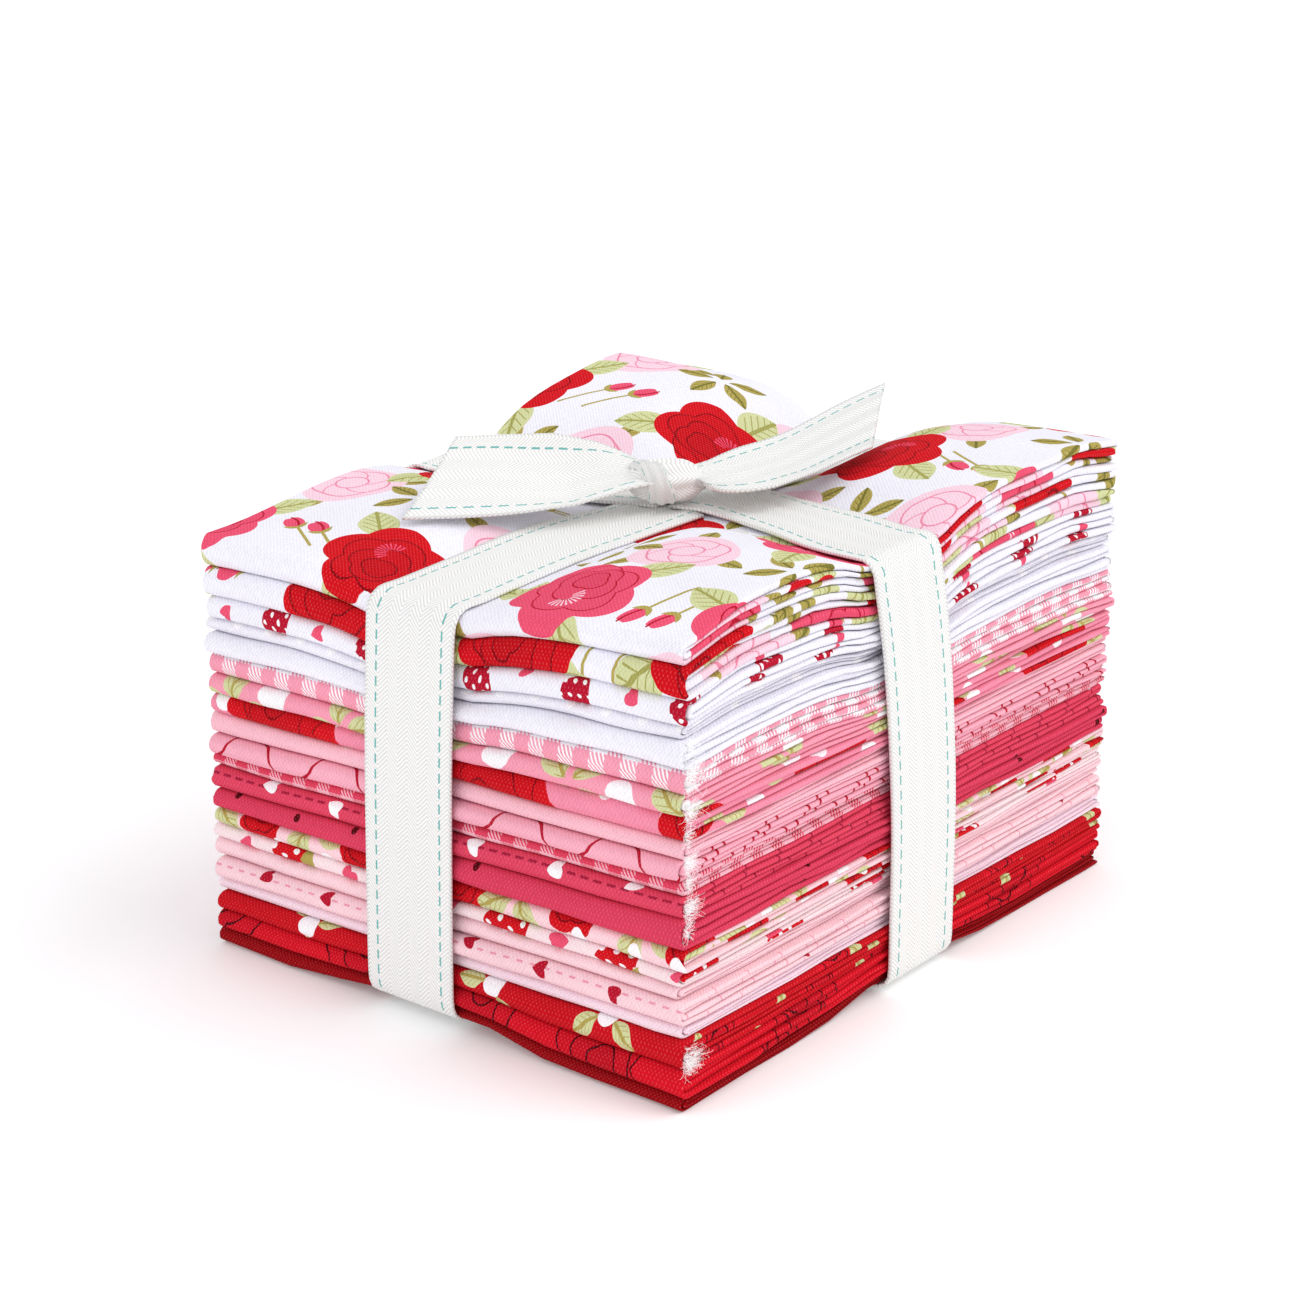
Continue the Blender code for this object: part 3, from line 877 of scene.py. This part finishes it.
def crosswise_path(front, back, step):
    """The four plies of a layer, from raw edge to raw edge: y and distance from its middle."""
    outer = 1.5 * PLY_PITCH
    inner = 0.5 * PLY_PITCH
    turn_y = front + outer + PLY / 2
    fold_y = back - inner - PLY / 2
    ys = stations(turn_y, fold_y, step)[::-1]
    path = [(y, outer) for y in np.append(back, ys)]
    path += [(turn_y - outer * math.sin(a), outer * math.cos(a)) for a in half_turn(8)]
    path += [(y, -outer) for y in ys[::-1]]
    path += [(fold_y + inner * math.sin(a), -PLY_PITCH - inner * math.cos(a)) for a in half_turn(4)]
    path += [(y, -inner) for y in ys]
    path += [(turn_y - inner * math.sin(a), -inner * math.cos(a)) for a in half_turn(4)]
    path += [(y, inner) for y in np.append(ys[::-1], back - INNER_PLY_INSET)]
    return np.array(path)


def path_lengths(points):
    steps = np.linalg.norm(np.diff(points, axis=0), axis=1)
    return np.concatenate([[0], np.cumsum(steps)])


def path_normals(points):
    """Unit vectors square to a path in its plane, on its outer side."""
    steps = np.diff(points, axis=0)
    steps = steps / np.linalg.norm(steps, axis=1)[:, None]
    along = np.vstack([steps[:1], steps[:-1] + steps[1:], steps[-1:]])
    along = along / np.linalg.norm(along, axis=1)[:, None]
    return np.column_stack([along[:, 1], -along[:, 0]])


def packet_points(number, lengthwise, crosswise, offset):
    """Points of one side of the cloth, from its place along and across the folds, in metres."""
    level = COUNT - number
    normals = path_normals(crosswise)
    places = crosswise + normals * offset
    x, height, heading = lengthwise.T[:, :, None]
    y, rise = places.T[:, None, :]
    x = x - rise * np.sin(heading)
    height = height + rise * np.cos(heading)
    y = y + 0 * x

    run = path_lengths(lengthwise[:, :2])[:, None]
    front, left, right = -WIDTH / 2, -LENGTH / 2, LENGTH / 2
    near_front = smooth(1 - (y - front) / EDGE_FADE)
    near_left = smooth(1 - (x - left) / EDGE_FADE)
    near_right = smooth(1 - (right - x) / EDGE_FADE)
    y = y + near_front * FRONT_WAVE * ripple(200 + number, run, 0 * run, 75.0)
    y = y + near_front * LAYER_SHIFT * np.sin(run / LENGTH * 2.2 + number * 2.1)
    x = x + near_left * LEFT_WAVE * ripple(300 + number, 0 * y, y, 70.0)
    x = x + near_right * LEFT_WAVE * ripple(400 + number, 0 * y, y, 60.0)

    share = height / SECTION_HEIGHT
    swell = ripple(500 + number, x, 0 * y, 50.0)
    share = share + LAYER_WARP * np.sin(share * 2 * TURN + number * 1.7 + swell * 2) * (
        np.sin(share * math.pi))
    top = boundary(level, x, y) - PACKET_GAP / 2
    bottom = boundary(level - 1, x, y) + (PACKET_GAP / 2 if level > 1 else 0)
    return np.stack([x, y, mix(bottom, top, share)], axis=2) * MM


def tri_grid(rows, columns, rising):
    """Triangles of a grid of points, each cell split along its rising or its falling diagonal."""
    index = np.arange(rows * columns).reshape(rows, columns)
    a, b = index[:-1, :-1], index[1:, :-1]
    c, d = index[1:, 1:], index[:-1, 1:]
    rising = rising[:, :, None]
    first = np.where(rising, np.stack([a, b, c], 2), np.stack([a, b, d], 2))
    second = np.where(rising, np.stack([a, c, d], 2), np.stack([b, c, d], 2))
    return np.concatenate([first.reshape(-1, 3), second.reshape(-1, 3)])


def rim_loop(rows, columns):
    """Indices round the rim of a grid of points."""
    index = np.arange(rows * columns).reshape(rows, columns)
    return np.concatenate([index[:-1, 0], index[-1, :-1], index[:0:-1, -1], index[0, :0:-1]])


def write_map(mesh, corners):
    """The cloth's own map: where each corner of each triangle lies on the flat cloth."""
    layer = mesh.uv_layers.new(name=CLOTH_MAP)
    layer.uv.foreach_set("vector", corners.reshape(-1).astype(np.float32))


def shell(name, upper, lower, places, rising):
    """A thin closed cloth between two grids of points, with its own map."""
    rows, columns = upper.shape[:2]
    count = rows * columns
    points = np.concatenate([upper.reshape(-1, 3), lower.reshape(-1, 3)])
    upper_faces = tri_grid(rows, columns, rising)
    lower_faces = upper_faces[:, ::-1] + count
    rim = rim_loop(rows, columns)
    following = np.roll(rim, -1)
    walls = np.concatenate([np.column_stack([rim, rim + count, following + count]),
                            np.column_stack([rim, following + count, following])])
    faces = np.concatenate([upper_faces, lower_faces, walls])
    corners = points[faces]
    volume = np.einsum("ij,ij->i", corners[:, 0], np.cross(corners[:, 1], corners[:, 2])).sum()
    if volume < 0:
        faces = faces[:, ::-1]
    mesh = bpy.data.meshes.new(name)
    mesh.from_pydata(points, [], faces.tolist())
    mesh.update()
    flat = np.concatenate([places.reshape(-1, 2)] * 2)
    write_map(mesh, flat[faces])
    mesh.shade_smooth()
    made = bpy.data.objects.new(name, mesh)
    bpy.context.scene.collection.objects.link(made)
    return made


def fat_quarter(number):
    quarter = QUARTERS[number]
    step = FINE_STEP if number < FINE_COUNT else COARSE_STEP
    left = -LENGTH / 2 + quarter.inset_left
    right = LENGTH / 2 - SLIDE + quarter.inset_left
    front = -WIDTH / 2 + quarter.inset_front
    back = WIDTH / 2 - SLIDE + quarter.inset_front
    lengthwise = lengthwise_path(left, right, step)
    crosswise = crosswise_path(front, back, step)
    upper = packet_points(number, lengthwise, crosswise, PLY / 2)
    lower = packet_points(number, lengthwise, crosswise, -PLY / 2)
    u = path_lengths(lengthwise[:, :2]) * MM
    v = path_lengths(crosswise) * MM
    places = np.stack(np.meshgrid(u, v, indexing="ij"), axis=2)
    x_rises = np.diff(lengthwise[:, 0]) > 0
    y_rises = np.diff(crosswise[:, 0]) > 0
    rising = x_rises[:, None] == y_rises[None, :]
    made = shell(f"cotton_{number + 1:02d}", upper, lower, places, rising)
    made.data.materials.append(cloth_material(quarter.slot))
    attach(made, "root")
    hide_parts(f"fat_quarter_{number + 1:02d}")


# Lint and threads that have come out of the raw edges at the front corner: at what height, how
# far up and down and along the face they spread, and how many there are
FRAYED = ((35.5, 0.6, 1.4, 60), (39.6, 0.9, 3.2, 190), (44.4, 0.5, 1.4, 60), (48, 0.9, 2.4, 170),
          (53, 0.6, 1.2, 60), (57.4, 0.9, 3.4, 170), (64, 1.5, 4.4, 260), (69.6, 0.8, 2.6, 90),
          (10.6, 1.1, 4.2, 280))
FRAY_LENGTHS = (0.6, 3.4)
FRAY_RADIUS = 0.026
FRAY_STEPS = 7
FRAY_SIDES = 3
# Strength of the painted glow of the loose threads, which lightens their shade on each other
FRAY_PAINTED_LIGHT = 0.14
FRAY_INSET = 0.4
FRAY_STAND_OFF = (0.2, 1.3)


def loose_thread(random, height, spread, reach):
    """Centre line of one thread: out of the front face near the corner, drooping and curling."""
    share = np.linspace(0, 1, FRAY_STEPS)
    length = random.uniform(*FRAY_LENGTHS) * random.uniform(0.5, 1)
    heading = random.uniform(-1.9, 1.2) + random.uniform(-1.6, 1.6) * share
    step = length / FRAY_STEPS
    x = -LENGTH / 2 + FRAY_INSET + abs(random.normal(0, 0.5)) * reach
    z = random.normal(height, spread)
    x = x + np.cumsum(np.cos(heading)) * step
    z = z + np.cumsum(np.sin(heading)) * step
    stand_off = random.uniform(*FRAY_STAND_OFF)
    y = -WIDTH / 2 - 0.1 - stand_off * np.sin(share * math.pi * random.uniform(0.5, 0.95))
    return np.column_stack([x, y, z])


def thread_material():
    """Undyed cotton, a little uneven along each thread, with a faint painted glow that lightens the
    shade the threads cast on each other.
    """
    canvas = Canvas("loose_threads", srgb("FFFFFF"))
    canvas.paint(canvas.noise(0.9) * 0.1, WHITE)
    feed(canvas.tree, canvas.colour, canvas.shader.inputs["Base Color"])
    canvas.shader.inputs["Roughness"].default_value = 0.8
    canvas.shader.inputs["Specular IOR Level"].default_value = COTTON_SPECULAR
    # Painted light: the threads glow faintly, so the shade they cast on each other is lightened
    canvas.shader.inputs["Emission Color"].default_value = (1.0, 1.0, 1.0, 1)
    canvas.shader.inputs["Emission Strength"].default_value = FRAY_PAINTED_LIGHT
    return canvas.material


def loose_threads():
    random = np.random.RandomState(900)
    angles = np.arange(FRAY_SIDES) * TURN / FRAY_SIDES
    ring = np.column_stack([0 * angles, np.cos(angles), np.sin(angles)]) * FRAY_RADIUS
    one = tri_grid(FRAY_STEPS, FRAY_SIDES + 1, np.ones((FRAY_STEPS - 1, FRAY_SIDES), bool))
    corner_row, corner_side = one // (FRAY_SIDES + 1), one % (FRAY_SIDES + 1)
    one = corner_row * FRAY_SIDES + corner_side % FRAY_SIDES
    points, faces = [], []
    for *place, count in FRAYED:
        for _ in range(count):
            line = loose_thread(random, *place)
            faces.append(one + len(points) * FRAY_STEPS * FRAY_SIDES)
            points.append((line[:, None] + ring[None]).reshape(-1, 3))
    points, faces = np.concatenate(points), np.concatenate(faces)
    mesh = bpy.data.meshes.new("loose_threads")
    mesh.from_pydata(points * MM, [], faces.tolist())
    mesh.update()
    write_map(mesh, points[faces][:, :, [0, 2]] * MM)
    mesh.shade_smooth()
    made = bpy.data.objects.new("loose_threads", mesh)
    bpy.context.scene.collection.objects.link(made)
    made.data.materials.append(thread_material())
    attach(made, "root")


# The ribbon

# A band: whether it runs along X, how far the stack reaches along it, its course on top, the line
# that it takes under the stack, the radius of its bends, how far its own middle lies from the axis
# low on the faces, half its width in the knot, where its gathering starts and is complete, how
# much lower it runs under the stack, and how much higher under the knot and elsewhere on top
Band = namedtuple("Band", "along_x reach course line bend low_offset gathered gather_far gather_near "
                          "drop rise lift")
BANDS = (
    Band(True, LENGTH / 2, COURSE_A, BAND_A_LINE, 3.6, 4.6, 9.0, 22.0, 4.0, 0.0, 0.1, 0.1),
    Band(False, WIDTH / 2, COURSE_B, BAND_B_LINE, 2.6, 2.4, 8.4, 45.0, 12.0, 0.75, 0.8, 0.45),
)
RISING_POWER = 2.8
COURSE_SOFTNESS = 7
FACE_CLEAR = 0.6
EDGE_LIFT = 0.6
EDGE_LIFT_REACH = 9.0
PATH_STEP = 0.5
PATH_SOFTNESS = 1.3
BAND_STEP = 1.8
BAND_STATIONS = 60
BAND_END = 0.4
RISE_REACH = 16.0
RISE_RUN = 9.0
PLEAT_HEIGHT = 2.4
ACROSS = np.linspace(-1, 1, 25)

KNOT_X = -1.15
KNOT_Y = -0.55
KNOT_RISE = 6.2
KNOT_HEADING = math.radians(-51.6)
KNOT_SQUASH = 0.82
KNOT_PROFILE = ((-8.6, 1.2), (-7.2, 2.8), (-5.6, 4.1), (-3, 4.7), (0, 4.8), (2.6, 4.7), (4.4, 3.9),
                (5.6, 2.8), (6.6, 1.4))
KNOT_SIDES = 72
KNOT_STATIONS = 40
KNOT_INSIDE = 0.9
KNOT_PLEATS = 7
WRAP_MIDDLE = -3.4
WRAP_HALF = 3.0
WRAP_RADIUS = 5.4
WRAP_LEAN = -1.9
WRAP_TURN = math.radians(35)
WRAP_RISES = math.radians(85)
WRAP_SUNK = 0.8
WRAP_ANGLES = np.radians(np.linspace(-50, 230, 60))

# A free end: where its straight run starts, its direction, how far its edges reach along that
# run, how its breadth tilts, how deep it is hollowed near the knot and at its tip, half its
# gathered breadth in the knot, and how far its left edge droops, and where
Tail = namedtuple("Tail", "start heading pitch roll first_reach second_reach hollow tip_hollow "
                          "root_half droop droop_at")
TAILS = (
    Tail(Vector((-8.5, 7.7, 89.6)), math.radians(143.7), math.radians(2.6), math.radians(-28.7),
         41.8, 28.2, 4.0, 0.7, 3.2, -2.0, 6.0),
    Tail(Vector((7.0, -12.0, 89.4)), math.radians(-9), math.radians(6.0), math.radians(1.5),
         49.0, 24.0, 0.9, -0.6, 7.4, 1.3, 19.0),
)
TAIL_ROOT = 0.16
TAIL_SPREAD = 9.0
TAIL_FLAT = 2.0
TAIL_STATIONS = 44
HOLLOW_AT = 9.0
HOLLOW_REACH = 11.0
DROOP_REACH = 12.0


def knot_centre():
    height = float(top_of_stack(np.array(KNOT_X), np.array(KNOT_Y))) + KNOT_RISE
    return np.array((KNOT_X, KNOT_Y, height))


KNOT = knot_centre()
KNOT_AXIS = np.array((math.cos(KNOT_HEADING), math.sin(KNOT_HEADING), 0.0))
KNOT_SIDE = np.array((-KNOT_AXIS[1], KNOT_AXIS[0], 0.0))
UP = np.array((0.0, 0.0, 1.0))


def pleats(gather):
    """How high the gathered tape stands in soft folds, across its width."""
    return np.cos(ACROSS * 1.5 * math.pi) ** 2 * gather * PLEAT_HEIGHT


def spot(band, run, offset):
    """(x, y) of a place this far along a band's direction and this far across it."""
    return (run, offset) if band.along_x else (offset, run)


def arc(centre, radius, first, last):
    angles = np.linspace(first, last, 9)
    return np.column_stack([centre[0] + radius * np.cos(angles), centre[1] + radius * np.sin(angles)])


def softened(points):
    """An even, softly bending path through points."""
    lengths = path_lengths(points)
    even = np.arange(0, lengths[-1], PATH_STEP)
    path = np.column_stack([np.interp(even, lengths, points[:, axis]) for axis in (0, 1)])
    reach = int(3 * PATH_SOFTNESS / PATH_STEP)
    weights = np.exp(-0.5 * (np.arange(-reach, reach + 1) * PATH_STEP / PATH_SOFTNESS) ** 2)
    padded = np.pad(path, ((reach, reach), (0, 0)), mode="edge")
    soft = np.column_stack([np.convolve(padded[:, axis], weights / weights.sum(), "valid")
                            for axis in (0, 1)])
    lengths = path_lengths(soft)
    even = np.linspace(0, lengths[-1], int(lengths[-1] / BAND_STEP))
    return np.column_stack([np.interp(even, lengths, soft[:, axis]) for axis in (0, 1)])


def band_path(band):
    """(run, height) of a band's middle, from the knot, round the stack and back to the knot."""
    clear = TAPE_CLEAR + TAPE / 2
    face = band.reach + FACE_CLEAR + TAPE / 2
    shoulder = face - band.bend

    def above(run):
        x, y = spot(band, run, course_at(band.course, run))
        rise = band.rise * smooth((RISE_REACH - np.abs(run)) / RISE_RUN)
        lift = EDGE_LIFT * smooth((np.abs(run) - band.reach) / EDGE_LIFT_REACH + 1)
        return top_of_stack(x, y) + clear + np.maximum(np.maximum(rise, lift), band.lift)

    runs = np.linspace(BAND_END, shoulder, BAND_STATIONS)
    parts = []
    for side in (-1, 1):
        top = np.column_stack([side * runs, above(side * runs)])
        edge = float(above(np.array(side * band.reach)))
        foot = float(channel_depth(*spot(band, np.array(side * band.reach), band.line)))
        foot -= clear + band.drop
        outward = math.pi if side < 0 else 0.0
        down = math.pi * 3 / 2 if side < 0 else -math.pi / 2
        half = [top, arc((side * shoulder, edge - band.bend), band.bend, math.pi / 2, outward),
                arc((side * shoulder, foot + band.bend), band.bend, outward, down)]
        half = np.concatenate(half)
        parts.append(half if side < 0 else half[::-1])
    under_runs = np.linspace(-shoulder, shoulder, BAND_STATIONS)[1:-1]
    x, y = spot(band, under_runs, band.line + 0 * under_runs)
    under = np.column_stack([under_runs, channel_depth(x, y) - clear - band.drop])
    return softened(np.concatenate([parts[0], under, parts[1]]))


def band_surface(band):
    """Middle surface of a band, its outward directions and its own map."""
    path = band_path(band)
    run, height = path.T
    outward = path_normals(path)
    on_course = course_at(band.course, run)
    top = top_of_stack(*spot(band, np.clip(run, -band.reach, band.reach), on_course))
    risen = clamp(height / top) ** RISING_POWER
    on_top = smooth((height - top + band.bend) / band.bend) * (outward[:, 1] > 0)
    middle = mix(band.low_offset, on_course, risen)
    padded = np.pad(middle, COURSE_SOFTNESS // 2, mode="edge")
    middle = np.convolve(padded, np.ones(COURSE_SOFTNESS) / COURSE_SOFTNESS, "valid")
    middle = middle + 0.25 * ripple(600 + band.along_x, run, height, 80.0)
    drawn_in = (band.gather_far - np.abs(run)) / (band.gather_far - band.gather_near)
    gather = smooth(drawn_in) * on_top
    half = mix(RIBBON_WIDTH / 2, band.gathered, gather)

    offset = middle[:, None] + half[:, None] * ACROSS
    flat_run = np.repeat(run[:, None], len(ACROSS), axis=1)
    x, y = spot(band, flat_run, offset)
    centre_x, centre_y = spot(band, run, on_course)
    tilt = top_of_stack(x, y) - top_of_stack(centre_x, centre_y)[:, None]
    z = height[:, None] + tilt * on_top[:, None]
    fullness = (RIBBON_WIDTH / 2 - band.gathered) / (RIBBON_WIDTH / 2)
    lift = pleats(gather[:, None] ** 2 * fullness)
    normals = np.zeros((len(run), 3))
    normals[:, 0 if band.along_x else 1] = outward[:, 0]
    normals[:, 2] = outward[:, 1]
    points = np.stack([x, y, z], axis=2) + normals[:, None] * lift[:, :, None]
    return points, normals[:, None], path_lengths(path)


def unit(vectors):
    return vectors / np.linalg.norm(vectors, axis=-1, keepdims=True)


def tail_surface(tail):
    """Middle surface of a free end, out of the knot and on to its slanting cut."""
    pitch, heading, roll = tail.pitch, tail.heading, tail.roll
    along = np.array((math.cos(heading) * math.cos(pitch), math.sin(heading) * math.cos(pitch),
                      math.sin(pitch)))
    level = np.array((-math.sin(heading), math.cos(heading), 0.0))
    upright = np.cross(along, level)
    start = np.array(tail.start)
    root = mix(KNOT, start, TAIL_ROOT)
    root_length = np.linalg.norm(start - root)
    reach = mix(tail.second_reach, tail.first_reach, (ACROSS + 1) / 2)
    share = np.linspace(0, 1, TAIL_STATIONS)[:, None]
    run = share * (reach + root_length) - root_length

    into = smooth(-run / root_length)[:, :, None]
    centre = (start + along * run[:, :, None]) * (1 - into) + root * into
    opened = clamp((run + root_length) / (TAIL_SPREAD + root_length)) ** 0.8
    gather = 1 - opened
    half = mix(tail.root_half, RIBBON_WIDTH / 2, opened)
    tilt = roll * smooth((run + root_length) / (TAIL_FLAT + root_length))
    side = level * np.cos(tilt)[:, :, None] + upright * np.sin(tilt)[:, :, None]
    normal = unit(np.cross(along + 0 * side, side))
    near_knot = np.exp(-((run - HOLLOW_AT) / HOLLOW_REACH) ** 2)
    hollow = mix(tail.tip_hollow, tail.hollow, near_knot) * opened
    lift = pleats(gather ** 1.5 * 0.4) - hollow * (1 - ACROSS ** 2)
    droop = tail.droop * np.exp(-((run - tail.droop_at) / DROOP_REACH) ** 2)
    lift = lift - droop * (ACROSS + 1) / 2
    lift = lift + 0.15 * np.sin(run / 7.0 + ACROSS)
    points = centre + side * (half * ACROSS)[:, :, None] + normal * lift[:, :, None]
    return points, normal, run[:, len(ACROSS) // 2]


def wrap_surface():
    """Middle surface of the turn of tape that goes over the knot."""
    angles = WRAP_ANGLES
    rolled = WRAP_RADIUS - 1.5 * np.abs(ACROSS) ** 3.5 + 0.22 * np.cos(ACROSS * 3 * math.pi)
    radius = rolled[None, :] * mix(WRAP_SUNK, 1, smooth((angles[:, None] - WRAP_RISES) / WRAP_TURN))
    narrow = WRAP_HALF * (1 - 0.12 * np.sin(angles)[:, None])
    place = WRAP_MIDDLE + narrow * ACROSS + WRAP_LEAN * np.cos(angles - WRAP_TURN)[:, None]
    out = (KNOT_SIDE * np.cos(angles)[:, None] + UP * KNOT_SQUASH * np.sin(angles)[:, None])
    points = KNOT + KNOT_AXIS * place[:, :, None] + out[:, None] * radius[:, :, None]
    return points, unit(out)[:, None], angles * WRAP_RADIUS


def tape_map(lengths):
    """The tape's own map: how far along it and how far across it a point lies."""
    places = np.stack(np.meshgrid(lengths, ACROSS * RIBBON_WIDTH / 2, indexing="ij"), axis=2)
    return places * MM


def tape(name, points, normals, lengths):
    half = normals * TAPE / 2
    rising = np.ones((len(points) - 1, len(ACROSS) - 1), bool)
    return shell(name, (points + half) * MM, (points - half) * MM, tape_map(lengths), rising)


def knot_core():
    """The gathered tape inside the knot, in folds that wind a little round it."""
    runs, sizes = np.array(KNOT_PROFILE).T
    fine = np.linspace(runs[0], runs[-1], KNOT_STATIONS)
    radius = np.interp(fine, runs, sizes)
    radius = np.convolve(np.pad(radius, 2, mode="edge"), np.ones(5) / 5, "valid")
    angles = np.linspace(0, TURN, KNOT_SIDES + 1)
    wind = KNOT_PLEATS * angles[None, :] + 0.35 * fine[:, None]
    size = radius[:, None] * (1 + 0.06 * np.sin(wind))
    out = KNOT_SIDE * np.cos(angles)[:, None] + UP * KNOT_SQUASH * np.sin(angles)[:, None]
    points = KNOT + (KNOT_AXIS * fine[:, None])[:, None] + out[None] * size[:, :, None]
    inner = KNOT + (points - KNOT) * KNOT_INSIDE
    places = np.stack(np.meshgrid(fine, 5.0 * np.sin(angles), indexing="ij"), axis=2) * MM
    rising = np.ones((len(fine) - 1, KNOT_SIDES), bool)
    return shell("knot_core", points * MM, inner * MM, places, rising)


TWILL = srgb("F8F8F6")
# Grey of the painted shade along the twill's ribs
TWILL_RIB_SHADE = srgb("B9B6B2")
TWILL_FIBRE = srgb("D8D4CC")
TEAL = srgb("3FA8A2")
RIB_PITCH = 0.85
RIB_DEPTH = 0.11 * MM
ZIGZAG_WIDTH = 4.8
ZIGZAG_SLOPE = 5.0
DASH_INSET = 2.6
DASH_HALF = 0.2
DASH_PERIOD = 3.0
DASH_SHARE = 0.62


def twill_material():
    """Off-white herringbone twill with painted shade along its ribs and a row of teal dashes inside
    each edge.
    """
    canvas = Canvas("twill_ribbon", TWILL)
    zigzag = ((canvas.v / ZIGZAG_WIDTH).fract() - 0.5).abs() * ZIGZAG_SLOPE
    rib = ((canvas.u + zigzag) / RIB_PITCH).fract()
    rib = (rib - 0.5).abs() * 2
    edge = (canvas.v.abs() - (RIBBON_WIDTH / 2 - DASH_INSET)).abs()
    dash = edge.below(DASH_HALF) * (canvas.u / DASH_PERIOD).fract().below(DASH_SHARE)
    # Painted shade: the twill's ribs are darkened towards grey
    canvas.paint(rib * rib * 0.7, TWILL_RIB_SHADE)
    canvas.paint(dash * 0.9, TEAL)
    fibre = canvas.noise(1.6, 3.0)
    canvas.paint(fibre * 0.08, TWILL_FIBRE)
    feed(canvas.tree, canvas.colour, canvas.shader.inputs["Base Color"])
    bump = canvas.tree.nodes.new("ShaderNodeBump")
    bump.inputs["Strength"].default_value = BUMP_STRENGTH
    bump.inputs["Distance"].default_value = RIB_DEPTH
    feed(canvas.tree, rib + fibre * 0.5, bump.inputs["Height"])
    canvas.tree.links.new(bump.outputs[0], canvas.shader.inputs["Normal"])
    feed(canvas.tree, fibre * 0.1 + 0.68, canvas.shader.inputs["Roughness"])
    canvas.shader.inputs["Sheen Weight"].default_value = 0.1
    canvas.shader.inputs["Specular IOR Level"].default_value = 0.3
    return canvas.material


def twill_ribbon():
    pieces = [tape(f"band_{i}", *band_surface(band)) for i, band in enumerate(BANDS)]
    pieces += [tape(f"tail_{i}", *tail_surface(tail)) for i, tail in enumerate(TAILS)]
    pieces.append(tape("wrap", *wrap_surface()))
    pieces.append(knot_core())
    ribbon = pieces[0]
    with bpy.context.temp_override(active_object=ribbon, object=ribbon,
                                   selected_editable_objects=pieces):
        bpy.ops.object.join()
    ribbon.name = "twill_ribbon"
    ribbon.data.materials.clear()
    ribbon.data.materials.append(twill_material())
    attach(ribbon, "root")
    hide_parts("ribbon_tie")


make_camera()
make_studio()
for number in range(COUNT):
    fat_quarter(number)
loose_threads()
twill_ribbon()
